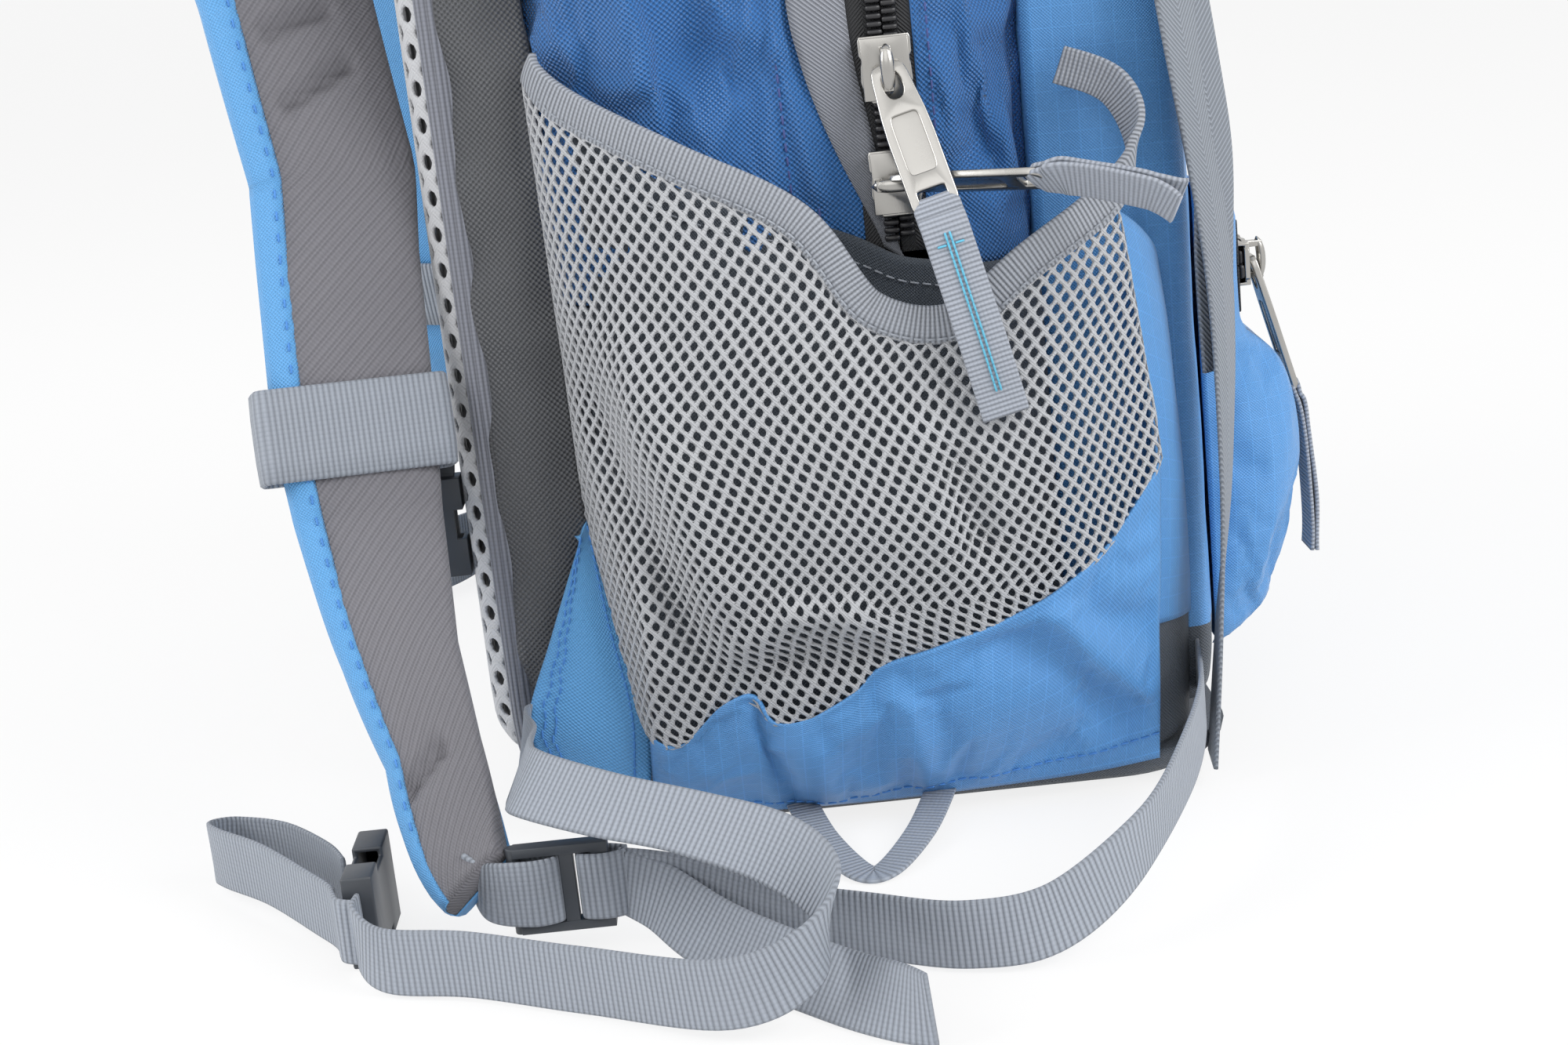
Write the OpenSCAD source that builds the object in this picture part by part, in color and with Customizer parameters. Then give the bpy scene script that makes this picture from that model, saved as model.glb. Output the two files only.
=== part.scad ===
// Daypack with padded harness, arched main zip, side mesh pockets and loose webbing.
// Front of the pack is +X, the harness is on -X, the left side is -Y, the floor is z = 0.

/* [Bag] */
// overall height of the main compartment
bag_height = 480; // [470:1:490]
// width of the main compartment across the shoulders
bag_width = 292; // [286:1:300]
// depth of the main compartment from back wall to front wall
main_depth = 147; // [144:1:150]
// cloth wall thickness
wall = 2.0; // [1.6:0.1:2.4]
// rounding of the upright corners
corner_r = 30; // [26:1:34]
// height at which the dome of the top begins
shoulder_z = 390; // [380:1:396]
// half length of the ridge along the top
ridge_half = 82; // [74:1:90]
// thickness of the padded bottom
bottom_thick = 12; // [10:0.5:13]

/* [Top flap] */
// height of the fold line on which the top flap opens
flap_z = 332; // [329:1:336]
// space between the flap and the cloth below it
flap_gap = 0.4; // [0.3:0.1:0.8]

/* [Back panel] */
// thickness of the back foam
foam_thick = 24; // [22:0.5:26]
// width of the back panel
panel_width = 256; // [250:1:262]
// height of the top edge of the back panel
panel_top = 440; // [430:1:446]
// thickness of the spacer mesh cushion
spacer_thick = 12; // [10:0.5:14]
// depth of the air channel down the middle of the cushion
channel_depth = 6; // [4:0.5:7]
// thickness of the stiffener sheet
sheet_thick = 1.6; // [1.2:0.1:2]

/* [Front compartment] */
// depth of the front compartment
front_depth = 52; // [48:1:56]
// width of the front compartment
front_width = 256; // [250:1:262]
// height of the top of the front compartment
front_top = 318; // [310:1:320]
// depth of the small pocket at its belly
belly_depth = 34; // [30:1:38]
// width of the small pocket
belly_width = 212; // [206:1:218]
// height of the top of the small pocket
belly_top = 184; // [182:1:188]

/* [Side pockets] */
// extra bulge of the mesh at half height
mesh_bulge = 12; // [8:1:16]
// thickness of the mesh cloth
mesh_thick = 1.2; // [0.8:0.1:1.6]
// width of the elastic binding
binding_width = 11.5; // [9:0.5:13]
// thickness of the folded binding
binding_thick = 2.6; // [2.4:0.1:3.2]

/* [Webbing] */
// width of the harness webbing
web_w = 20; // [18:0.5:21]
// thickness of the harness webbing
web_t = 1.5; // [1.2:0.1:1.8]
// width of the bottom gear loops
loop_w = 10; // [8:0.5:12]

/* [Shoulder straps] */
// width of the padded strap
strap_w = 54; // [50:1:58]
// thickness of the mesh-faced foam
strap_foam = 7.5; // [6.5:0.5:8.5]
// thickness of the outer cover
strap_cover = 3.5; // [2.5:0.5:4]
// length of the chest band along the strap
band_len = 28; // [24:1:32]
// thickness of the chest band
band_t = 2.0; // [1.6:0.1:2.4]
// free space between the band and the strap
band_gap = 0.8; // [0.6:0.1:1.2]

/* [Zips] */
// width of the closed zip chain
chain_w = 11; // [10:0.5:11.5]
// height of the zip chain above the cloth
chain_h = 3.4; // [3:0.1:3.8]
// width of one zip tape
tape_w = 15; // [13:0.5:16]
// distance between zip teeth
tooth_pitch = 3.2; // [2.8:0.1:4]
// slider length along the chain
slider_l = 18; // [16:0.5:19]
// slider width
slider_w = 14; // [13.6:0.1:14.6]
// free space between the slider and the chain
slider_gap = 0.5; // [0.4:0.05:0.7]
// length of the metal pull tab
tab_l = 46; // [42:1:50]
// width of the metal pull tab
tab_w = 13; // [12:0.5:14]
// thickness of the metal pull tab
tab_t = 2.0; // [1.6:0.1:2.4]
// length of the webbing puller
puller_l = 62; // [56:1:66]

/* [Hardware] */
// ladder lock length
lock_l = 27; // [25:0.5:30]
// ladder lock bar diameter
lock_bar = 4.0; // [3.6:0.2:4.4]
// side release buckle body thickness
buckle_t = 9; // [8:0.5:10]

/* [Hidden] */
half_w = bag_width / 2;
x_back = -62;
x_front = x_back + main_depth;
x_ridge = -14;
x_zip = 43;
zip_low = 170;
floor_z = bottom_thick + 0.2;
dome_end = 82;
fold_x = x_front + 3;
skin = 0.2;
front_x0 = x_front + 0.3;
front_x1 = front_x0 + front_depth;
belly_x0 = front_x1 + 0.3;
belly_x1 = belly_x0 + belly_depth;
pad_x = x_back - 0.3;
cloth_blue = [0.30, 0.45, 0.72];
cloth_char = [0.25, 0.25, 0.28];
web_grey = [0.62, 0.62, 0.64];
mesh_grey = [0.74, 0.74, 0.76];
black = [0.08, 0.08, 0.09];
metal = [0.75, 0.75, 0.77];
arc_n = 4;

// Curves and grids

function mix(a, b, t) = a + (b - a) * t;
function unit(v) = v / norm(v);
function spread(a, b, n) = [for (i = [0:n]) mix(a, b, i / n)];
function flat(lists) = [for (l = lists) each l];
function mirror_y(p) = [p[0], -p[1], p[2]];

// point of a smooth line through a list of points, segment i at t
function knot(pts, i) = pts[max(0, min(len(pts) - 1, i))];
function smooth_at(pts, i, t) =
  let (p0 = knot(pts, i - 1), p1 = knot(pts, i), p2 = knot(pts, i + 1), p3 = knot(pts, i + 2))
  0.5 * (2 * p1 + (p2 - p0) * t + (2 * p0 - 5 * p1 + 4 * p2 - p3) * t * t
    + (3 * p1 - p0 - 3 * p2 + p3) * t * t * t);
function smooth_line(pts, n) = concat(
  [for (i = [0:len(pts) - 2]) for (k = [0:n - 1]) smooth_at(pts, i, k / n)],
  [pts[len(pts) - 1]]);

// tangent of a line at index i
function along(line, i) = unit(line[min(len(line) - 1, i + 1)] - line[max(0, i - 1)]);

// closed solid from rings of equal point count, both ends capped, each side split on one diagonal
module loft(rings, other = false) {
  k = len(rings[0]);
  n = len(rings);
  polyhedron(flat(rings), concat(
    [for (i = [1:k - 2]) [0, i, i + 1]],
    flat([for (j = [0:n - 2]) flat([for (i = [0:k - 1])
      let (a = j * k + i, b = j * k + (i + 1) % k)
      other ? [[a, a + k, b + k], [a, b + k, b]] : [[a, a + k, b], [b, a + k, b + k]]])]),
    [for (i = [1:k - 2]) [(n - 1) * k, (n - 1) * k + i + 1, (n - 1) * k + i]]));
}

// closed solid between an outer and an inner grid of points
module sheet(outer, inner) {
  n = len(outer);
  m = len(outer[0]);
  half = n * m;
  rim = concat([for (j = [0:m - 1]) j], [for (i = [1:n - 1]) i * m + m - 1],
    [for (j = [m - 2:-1:0]) (n - 1) * m + j], [for (i = [n - 2:-1:1]) i * m]);
  k = len(rim);
  polyhedron(concat(flat(outer), flat(inner)), concat(
    flat([for (i = [0:n - 2]) flat([for (j = [0:m - 2])
      let (a = i * m + j, b = a + 1, c = a + m, d = c + 1)
      [[a, c, b], [b, c, d], [half + a, half + b, half + c], [half + b, half + d, half + c]]])]),
    flat([for (i = [0:k - 1]) let (a = rim[i], b = rim[(i + 1) % k])
      [[a, b, half + a], [b, half + b, half + a]]])));
}

// flat band swept along a route of [point, width direction] pairs
module ribbon(route, width, thick, n = 4) {
  line = smooth_line([for (r = route) r[0]], n);
  side = smooth_line([for (r = route) r[1]], n);
  loft([for (i = [0:len(line) - 1])
    let (t = along(line, i), s = unit(side[i] - t * (side[i] * t)), u = cross(t, s))
    [line[i] - s * width / 2 - u * thick / 2, line[i] + s * width / 2 - u * thick / 2,
      line[i] + s * width / 2 + u * thick / 2, line[i] - s * width / 2 + u * thick / 2]]);
}

module right_of() {
  mirror([0, 1, 0]) children();
}

// Form of the main compartment

function dome_angle(z) = z <= shoulder_z ? 0
  : asin(min(1, (z - shoulder_z) / (bag_height - shoulder_z)));
function draw_in(z) = 1 - cos(dome_angle(z));
function front_at(z) = x_front - (x_front - x_ridge) * draw_in(z);
function back_at(z) = x_back + (x_ridge - x_back) * draw_in(z);
function half_at(z) = half_w - (half_w - ridge_half) * draw_in(z);
function zip_at(z) = x_zip - (x_zip - x_ridge) * draw_in(z);
function dome_z(a) = shoulder_z + (bag_height - shoulder_z) * sin(a);

// side and corner of a level, from the side point x0 to the middle of the wall at x1
function quarter(x0, x1, h, r) = let (s = sign(x1 - x0), q = min(r, abs(x1 - x0) * 0.9))
  concat([[x0, -h]],
    [for (i = [0:arc_n]) let (a = 90 * i / arc_n)
      [x1 - s * q + s * q * sin(a), -h + q - q * cos(a)]]);
function level(x0, x1, z, off) = let (a = dome_angle(z), s = sign(x1 - x0), o = off * cos(a))
  [for (p = quarter(x0, x1 + s * o, half_at(z) + o, corner_r + o)) [p[0], p[1], z + off * sin(a)]];
function whole_level(x0, x1, z, off) = let (l = level(x0, x1, z, off))
  concat(l, [for (i = [len(l) - 1:-1:0]) mirror_y(l[i])]);

// heights used for a wall between two levels
function rise(z0, z1) = concat(spread(z0, min(z1, shoulder_z), 2),
  z1 <= shoulder_z ? [] : [for (a = [18, 36, 54, 68, dome_end]) dome_z(a)]);

module wall_strip(z_list, edge_x, to_front) {
  sheet(
    [for (z = z_list) level(zip_at(z) + edge_x, to_front ? front_at(z) : back_at(z), z, 0)],
    [for (z = z_list) level(zip_at(z) + edge_x, to_front ? front_at(z) : back_at(z), z, -wall)]);
}

slot_half = 9;

module side_panel() {
  wall_strip(rise(zip_low, bag_height), -slot_half, false);
}

module front_gusset() {
  wall_strip(spread(zip_low, flap_z - flap_gap / 2, 2), slot_half, true);
}

module pocket_back() {
  color(cloth_char)
    difference() {
      translate([x_back + corner_r, -half_w, floor_z])
        cube([main_depth - 2 * corner_r, wall, zip_low - floor_z - skin]);
      translate([x_zip - slot_half, -half_w - 1, zip_low - 6])
        cube([2 * slot_half, wall + 2, 10]);
    }
}

module left_side_panel() {
  color(cloth_blue) side_panel();
}

module right_side_panel() {
  color(cloth_blue) right_of() side_panel();
}

module left_front_gusset() {
  color(cloth_blue) front_gusset();
}

module right_front_gusset() {
  color(cloth_blue) right_of() front_gusset();
}

module left_pocket_back() {
  pocket_back();
}

module right_pocket_back() {
  right_of() pocket_back();
}

// rear of the dome between the two upright corners
yoke_rise = concat([shoulder_z], [for (a = [18, 36, 54, 68, dome_end]) dome_z(a)]);
function yoke_row(z, off) = let (l = level(zip_at(z) - slot_half, back_at(z), z, off), e = l[len(l) - 1])
  [mirror_y(e), [e[0], 0, e[2]], e];

module lower_corner(s, x) {
  intersection() {
    difference() {
      translate([x, s * (half_w - corner_r), floor_z])
        cylinder(r = corner_r, h = zip_low - floor_z - skin, $fn = 48);
      translate([x, s * (half_w - corner_r), 0])
        cylinder(r = corner_r - wall, h = zip_low, $fn = 48);
    }
    translate([x < 0 ? x - corner_r : x, s > 0 ? half_w - corner_r : -half_w, 0])
      cube([corner_r, corner_r, zip_low]);
  }
}

module back_wall() {
  color(cloth_char) {
    translate([x_back, -half_w + corner_r, floor_z])
      cube([wall, bag_width - 2 * corner_r, shoulder_z - floor_z]);
    for (s = [-1, 1])
      lower_corner(s, x_back + corner_r);
    sheet([for (z = yoke_rise) yoke_row(z, 0)], [for (z = yoke_rise) yoke_row(z, -wall)]);
  }
}

module front_wall() {
  color(cloth_blue) {
    translate([x_front - wall, -half_w + corner_r, floor_z])
      cube([wall, bag_width - 2 * corner_r, flap_z - flap_gap / 2 - floor_z]);
    for (s = [-1, 1])
      lower_corner(s, x_front - corner_r);
  }
}

module top_flap() {
  z_list = rise(flap_z + flap_gap / 2, bag_height);
  color(cloth_blue)
    sheet([for (z = z_list) whole_level(zip_at(z) + slot_half * cos(dome_angle(z)), front_at(z), z, 0)],
      [for (z = z_list) whole_level(zip_at(z) + slot_half * cos(dome_angle(z)), front_at(z), z, -wall)]);
}

// Closed cushions

// ring of a rounded rectangle in the plane across an axis
function round_ring(w0, w1, h0, h1, r, n = 4) = [for (c = [0:3]) for (i = [0:n])
  let (a = 90 * c + 90 * i / n, cx = (c == 0 || c == 3) ? w1 - r : w0 + r,
    cy = c < 2 ? h1 - r : h0 + r)
  [cx + r * cos(a), cy + r * sin(a)]];

module bottom_panel() {
  color(cloth_char)
    loft([for (s = [[0, 13], [3.5, 5], [bottom_thick, 1]])
      [for (p = round_ring(x_back + s[1], front_x1 - s[1], -half_w + s[1], half_w - s[1], corner_r))
        [p[0], -p[1], s[0]]]]);
}

module front_compartment() {
  color(cloth_blue)
    loft([for (s = [[front_x0, 0], [mix(front_x0, front_x1, 0.6), 0], [front_x1 - 5, 6], [front_x1, 17]])
      [for (p = round_ring(-front_width / 2 + s[1], front_width / 2 - s[1], bottom_thick + 0.3 + s[1],
        front_top - s[1], corner_r))
        [s[0], -p[0], p[1]]]]);
}

belly_zip_z = 152;
belly_zip_band = 17;
zip_face = belly_x0 + 0.5 * belly_depth;

module belly_pocket() {
  levels = [[32, 0.15], [42, 0.6], [66, 0.92], [96, 1], [122, 0.86], [belly_zip_z - belly_zip_band, 0.5],
    [belly_zip_z + belly_zip_band, 0.5], [belly_top - 6, 0.32], [belly_top, 0.12]];
  color(cloth_blue) difference() {
    loft([for (s = levels) let (d = belly_depth * s[1], q = min(22, d * 0.95), w = belly_width / 2)
      concat([[belly_x0, w, s[0]]],
        [for (i = [0:4]) [belly_x0 + d - q + q * sin(22.5 * i), w - q + q * cos(22.5 * i), s[0]]],
        [for (i = [4:-1:0]) [belly_x0 + d - q + q * sin(22.5 * i), -w + q - q * cos(22.5 * i), s[0]]],
        [[belly_x0, -w, s[0]]])]);
    translate([zip_face - 3.5, -belly_width / 2 + 22, belly_zip_z - slot_half])
      cube([10, belly_width - 44, 2 * slot_half]);
  }
}

// Back panel

pad_low = bottom_thick + 2;
gusset_t = 3;
foam_x = pad_x - sheet_thick;
face_x = foam_x - foam_thick;

module plate_round(x0, x1, w, z0, z1, r) {
  translate([x0, 0, 0])
    rotate([90, 0, 90])
      linear_extrude(height = x1 - x0) {
        translate([-w / 2 + r, z0]) square([w - 2 * r, z1 - z0]);
        translate([-w / 2, z0 + r]) square([w, z1 - z0 - 2 * r]);
        for (y = [-w / 2 + r, w / 2 - r])
          for (z = [z0 + r, z1 - r])
            translate([y, z]) circle(r = r, $fn = 48);
      }
}

module back_foam() {
  color([0.9, 0.9, 0.88])
    plate_round(face_x, foam_x, panel_width - 2 * gusset_t, pad_low + gusset_t, panel_top - gusset_t,
      corner_r - gusset_t);
}

module frame_sheet() {
  color([0.93, 0.93, 0.9])
    plate_round(foam_x, pad_x, panel_width - 24, pad_low + 12, panel_top - 12, 24);
}

module back_gusset() {
  color(cloth_char)
    difference() {
      plate_round(face_x, pad_x, panel_width, pad_low, panel_top, corner_r);
      plate_round(face_x - 1, pad_x + 1, panel_width - 2 * gusset_t, pad_low + gusset_t,
        panel_top - gusset_t, corner_r - gusset_t);
    }
}

module back_binding() {
  color(web_grey)
    difference() {
      plate_round(face_x - 5, face_x, panel_width, pad_low, panel_top, corner_r);
      plate_round(face_x - 6, face_x + 1, panel_width - 9, pad_low + 4.5, panel_top - 4.5, corner_r - 4.5);
    }
}

module back_spacer_mesh() {
  groove_r = 60;
  w = panel_width / 2 - 4.7;
  color(mesh_grey)
    difference() {
      loft([for (s = [[0, 0], [0.45, 0], [0.8, 4], [1, 11]])
        [for (p = round_ring(-w + s[1], w - s[1], pad_low + 4.7 + s[1], panel_top - 4.7 - s[1], 25))
          [face_x - spacer_thick * s[0], p[0], p[1]]]]);
      translate([face_x - spacer_thick - groove_r + channel_depth, 0, pad_low - 20])
        cylinder(r = groove_r, h = panel_top + 40, $fn = 96);
    }
}

// Side pockets

rim_pts = [[-58, -132.5, 240], [-50, -143.6, 226], [-23, -161, 208], [9, -167, 189], [28, -172, 162],
  [55, -173, 155], [81, -170, 171], [106, -160, 186]];
curl_pts = [[106, -160, 186], [112, -150, 200], [107, -142, 215], [93, -136, 222]];
seam_pts = [[-60, -128.3, 101], [-54, -142.5, 72], [-46, -160, 40], [-12, -167, 47], [26, -172, 62],
  [55, -173, 69], [88, -167, 83], [114, -154, 105]];
hem_pts = [[-50, -147.5, 15], [-12, -147.5, 15], [26, -147.5, 15], [55, -147.5, 15], [88, -146, 15],
  [110, -139, 17]];
edge_pts = [[124, -128.4, 20], [126, -128.4, 98], [122, -128.4, 165]];

function wide(p) = [p[0], p[1] + 146 - half_w, p[2]];
// cloth grid between an upper and a lower line, bulged outward by d at half height
function hang(upper, lower, d, rows) = [for (j = [0:rows]) let (t = j / rows)
  [for (i = [0:len(upper) - 1]) let (s = i / (len(upper) - 1))
    mix(wide(lower[i]), wide(upper[i]), t) - [0, d * sin(180 * t) * sin(180 * s), 0]]];
function inward(grid, t) = [for (row = grid) [for (p = row) p + [0, t, 0]]];

module hang_sheet(grid, t) {
  sheet(grid, inward(grid, t));
}

module pocket_mesh() {
  upper = smooth_line(rim_pts, 2);
  lower = smooth_line(seam_pts, 2);
  color(mesh_grey) hang_sheet(hang(upper, lower, mesh_bulge, 6), mesh_thick);
}

module pocket_base() {
  seam_line = smooth_line(seam_pts, 2);
  top_line = [for (i = [4:14]) seam_line[i] - [0, 0, 0.6]];
  low_line = smooth_line(hem_pts, 2);
  gusset_in = [[110.9, -139, 17], [114.9, -154, 105], [106.9, -160, 186]];
  color(cloth_blue) {
    hang_sheet(hang(top_line, low_line, 5, 3), mesh_thick);
    sheet([for (i = [0:2]) [wide(gusset_in[i]), wide(edge_pts[i])]],
      [for (i = [0:2]) [wide(gusset_in[i] + [0, 1.4, 0]), wide(edge_pts[i] - [1.2, 0, 0])]]);
  }
}

// binding folded over the rim of the mesh, its low edge just above the mesh
module pocket_binding() {
  line = smooth_line([for (p = concat(rim_pts, [for (i = [1:3]) curl_pts[i]])) wide(p)], 2);
  color(web_grey)
    loft([for (i = [0:len(line) - 1])
      let (t = along(line, i), s = unit([0, 0, 1] - t * t[2]), u = cross(t, s) * binding_thick / 2,
        low_edge = line[i] + [0, mesh_thick / 2, 0] + s * 0.4, top_edge = low_edge + s * binding_width)
      [low_edge - u, top_edge - u, top_edge + u, low_edge + u]]);
}

module left_pocket_mesh() {
  pocket_mesh();
}

module right_pocket_mesh() {
  right_of() pocket_mesh();
}

module left_pocket_base() {
  pocket_base();
}

module right_pocket_base() {
  right_of() pocket_base();
}

module left_pocket_binding() {
  pocket_binding();
}

module right_pocket_binding() {
  right_of() pocket_binding();
}

// Harness

fin_t = 2.4;
fin_front = [[-60.8, -127.2, 100], [-55, -140, 72], [-48, -149, 41], [-51, -147.9, 15]];
fin_rear = [[-64, -131, 94], [-76, -140, 66], [-84, -148.6, 46], [-84, -148.6, 33]];

module hip_fin() {
  grid = [for (i = [3:-1:0]) [wide(fin_rear[i]), wide(fin_front[i])]];
  color(cloth_blue) hang_sheet(grid, fin_t);
}

module left_hip_fin() {
  hip_fin();
}

module right_hip_fin() {
  right_of() hip_fin();
}

// straight stretch of the strap on which the chest band slides
run_top = [-131, -112, 214];
run_low = [-127, -142, 114];
run_side = [0.95, 0.31, 0];
strap_over = [[[-103.6, -52, 404], [0, 1, 0], 1.1], [[-118, -54, 431], [0, 1, 0], 1.1],
  [[-142, -60, 422], [0.05, 1, 0], 1.1], [[-157, -74, 366], [0.3, 0.95, 0], 1.06],
  [[-148, -92, 288], [0.85, 0.5, 0], 1], [run_top, run_side, 1]];
strap_under = [[run_low, run_side, 1], [[-121, -165, 79], [0.97, 0.25, 0.1], 0.95],
  [[-112, -190, 49], [0.97, 0.2, 0.2], 0.8], [[-103, -212, 24], [0.97, 0.2, 0.25], 0.5]];

function strap_part(k) = concat(
  smooth_line([for (r = strap_over) r[k]], 4),
  [mix(strap_over[5][k], strap_under[0][k], 0.08)],
  [mix(strap_over[5][k], strap_under[0][k], 0.92)],
  smooth_line([for (r = strap_under) r[k]], 4));

module strap_layer(u0, u1, other) {
  line = strap_part(0);
  side = strap_part(1);
  wide_by = strap_part(2);
  loft([for (i = [0:len(line) - 1])
    let (t = along(line, i), s = unit(side[i] - t * (side[i] * t)), u = cross(t, s),
      w = strap_w * wide_by[i] / 2)
    [line[i] - s * w + u * u0, line[i] + s * w + u * u0, line[i] + s * w + u * u1,
      line[i] - s * w + u * u1]], other);
}

module strap_pad() {
  color(mesh_grey) strap_layer(skin, strap_foam, false);
}

module strap_face() {
  color(cloth_blue) strap_layer(-strap_cover, 0, true);
}

module left_strap_pad() {
  strap_pad();
}

module right_strap_pad() {
  right_of() strap_pad();
}

module left_strap_cover() {
  strap_face();
}

module right_strap_cover() {
  right_of() strap_face();
}

band_at = mix(run_top, run_low, 0.75);
run_t = unit(run_low - run_top);
run_s = unit(run_side - run_t * (run_side * run_t));
run_u = cross(run_t, run_s);

module on_strap() {
  multmatrix([[run_s[0], run_u[0], run_t[0], band_at[0]], [run_s[1], run_u[1], run_t[1], band_at[1]],
    [run_s[2], run_u[2], run_t[2], band_at[2]], [0, 0, 0, 1]]) children();
}

module chest_band() {
  in_w = strap_w + 2 * band_gap;
  in_t = strap_foam + strap_cover + 2 * band_gap;
  mid_u = (strap_foam - strap_cover) / 2;
  color(web_grey)
    on_strap()
      difference() {
        translate([-in_w / 2 - band_t, mid_u - in_t / 2 - band_t, -band_len / 2])
          cube([in_w + 2 * band_t, in_t + 2 * band_t, band_len]);
        translate([-in_w / 2, mid_u - in_t / 2, -band_len])
          cube([in_w, in_t, 2 * band_len]);
      }
}

module left_chest_band() {
  chest_band();
}

module right_chest_band() {
  right_of() chest_band();
}

// Side release buckles, the socket is open at its far end

buckle_wall = 1.6;
prong_w = 5;

// hollow half, length along z, mouth at the low end, width along y
module socket_half(w, l) {
  difference() {
    translate([-buckle_t / 2, -w / 2, -l]) cube([buckle_t, w, l]);
    translate([-buckle_t / 2 + buckle_wall, -w / 2 + buckle_wall, -l - 1])
      cube([buckle_t - 2 * buckle_wall, w - 2 * buckle_wall, l - 5]);
    translate([-buckle_t, -w / 2 - 1, -l * 0.62]) cube([2 * buckle_t, 4, l * 0.3]);
    translate([-buckle_t, w / 2 - 3, -l * 0.62]) cube([2 * buckle_t, 4, l * 0.3]);
  }
}

// pronged half, length along z, prongs at the low end
module plug_half(w, l) {
  h = buckle_t - 2 * buckle_wall - 1.2;
  translate([-buckle_t / 2, -w / 2, -l * 0.42]) cube([buckle_t, w, l * 0.42]);
  for (y = [-w / 2 + 2.5, w / 2 - 2.5 - prong_w])
    translate([-h / 2, y, -l]) cube([h, prong_w, l * 0.6]);
  translate([-h / 2, -1.5, -l * 0.9]) cube([h, 3, l * 0.5]);
}

chest_x = -113;
chest_y = -110;
chest_z = 116;
chest_w = 24;
chest_l = 32;
band_rear = strap_cover + band_gap + band_t + web_t / 2 + 0.5;
chest_from = band_at + run_s * 8 - run_u * band_rear;
chest_route = [[chest_from - run_t * 8, run_s], [chest_from + run_t * 2, run_s],
  [chest_from + run_t * 16 - run_u * 3, run_s], [[chest_x, chest_y, chest_z + 6], [1, 0, 0]], [[chest_x, chest_y, chest_z + 0.2], [1, 0, 0]]];

module chest_tape() {
  ribbon(chest_route, web_w, web_t, 3);
}

module chest_buckle_socket() {
  color(black) {
    translate([chest_x, chest_y, chest_z]) rotate([0, 0, 90]) socket_half(chest_w, chest_l);
    chest_tape();
  }
}

module chest_buckle_plug() {
  color(black)
    right_of() {
      translate([chest_x, chest_y, chest_z]) rotate([0, 0, 90]) plug_half(chest_w, chest_l);
      chest_tape();
    }
}

// Ladder lock, its round bar stands on z at the origin

lock_h = web_w + 6;
lock_rail = 2.8;
lock_x = -86;
lock_y = -221;
lock_z = 20;

module lock_frame() {
  for (z = [-lock_h / 2, lock_h / 2 - lock_rail])
    translate([0, -2.5, z]) cube([lock_l, 5, lock_rail]);
  translate([0, 0, -lock_h / 2]) cylinder(d = lock_bar, h = lock_h, $fn = 32);
  translate([lock_l * 0.48, -2, -lock_h / 2]) cube([4, 4, lock_h]);
  translate([lock_l - 5, -2.5, -lock_h / 2]) cube([5, 5, lock_h]);
}

module strap_lock() {
  color(black) translate([lock_x, lock_y, lock_z]) lock_frame();
}

module left_ladder_lock() {
  strap_lock();
}

module right_ladder_lock() {
  right_of() strap_lock();
}

// Webbing

web_x = lock_x + lock_l + 2.2;
web_up = [0, 0, 1];
low = web_w / 2 + 1.2;
run_route = [[[web_x, lock_y, lock_z], web_up], [[-40, -228, 19], web_up], [[-15, -238, 13], web_up],
  [[12, -250, low], web_up], [[38, -262, low], web_up], [[62, -262, 14], [0.1, 0.1, 1]],
  [[88, -243, 24], [0.2, 0.2, 1]], [[108, -205, 30], web_up], [[121, -165, 32], web_up],
  [[128, -half_w + 24.5, 32], web_up]];
tail_route = [[[web_x + 1, lock_y - 1, lock_z - 0.4], web_up], [[-46, -227.5, 18], [0.1, 0.3, 1]],
  [[-33, -242, 6], [0.5, 0.7, 0.4]], [[-18, -258, 1.4], [0.7, 0.7, 0]], [[3, -280, 2.4], [0.7, 0.7, 0.3]],
  [[15, -294, 8], [0.3, 0.3, 1]], [[24, -303, low], web_up]];
tip_route = [[[-98, -213.3, 25.6], [0, -0.75, 0.66]], [[-95, -217.8, 21], [0, -0.2, 0.95]],
  [[lock_x - 4, lock_y, lock_z], web_up]];

module strap_webbing() {
  color(web_grey) {
    ribbon(run_route, web_w, web_t);
    ribbon(tail_route, web_w, web_t);
    ribbon(tip_route, web_w, web_t, 2);
  }
}

module left_strap_webbing() {
  strap_webbing();
}

module right_strap_webbing() {
  right_of() strap_webbing();
}

fin_y = -half_w - 3.2;
belt_route = [[[-60, fin_y - 0.9, 39], web_up], [[-74, fin_y - 1, 39], web_up],
  [[-81, -156, 40], web_up], [[-83, -174, 43], web_up], [[-84, -197, 46], web_up],
  [[-79, -215, 49], web_up], [[-58, -231, 47], web_up], [[-34, -241, 43], web_up],
  [[-10, -256, 38], web_up], [[1, -272, 31], web_up], [[-6, -288, 21], web_up],
  [[-28, -290, 14], web_up], [[-66, -268, low], web_up], [[-98, -250, low], web_up],
  [[-122, -240, low], web_up], [[-131, -230, 14], web_up], [[-131, -221.4, 14.6], web_up]];
belt_tail = [[[-132, -225.5, 14.2], web_up], [[-137, -223, 14.4], web_up], [[-140, -214, 14.6], web_up],
  [[-148, -203, 15], web_up], [[-166, -180, 16], web_up],
  [[-183, -161, 15], web_up], [[-188, -149, 13], web_up], [[-180, -143, low], web_up],
  [[-164, -152, low], web_up], [[-148, -172, low], web_up], [[-141, -186, low], web_up]];

module belt_webbing() {
  color(web_grey) {
    ribbon(belt_route, web_w, web_t, 3);
    ribbon(belt_tail, web_w, web_t, 3);
  }
}

module left_belt_webbing() {
  belt_webbing();
}

module right_belt_webbing() {
  right_of() belt_webbing();
}

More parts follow.
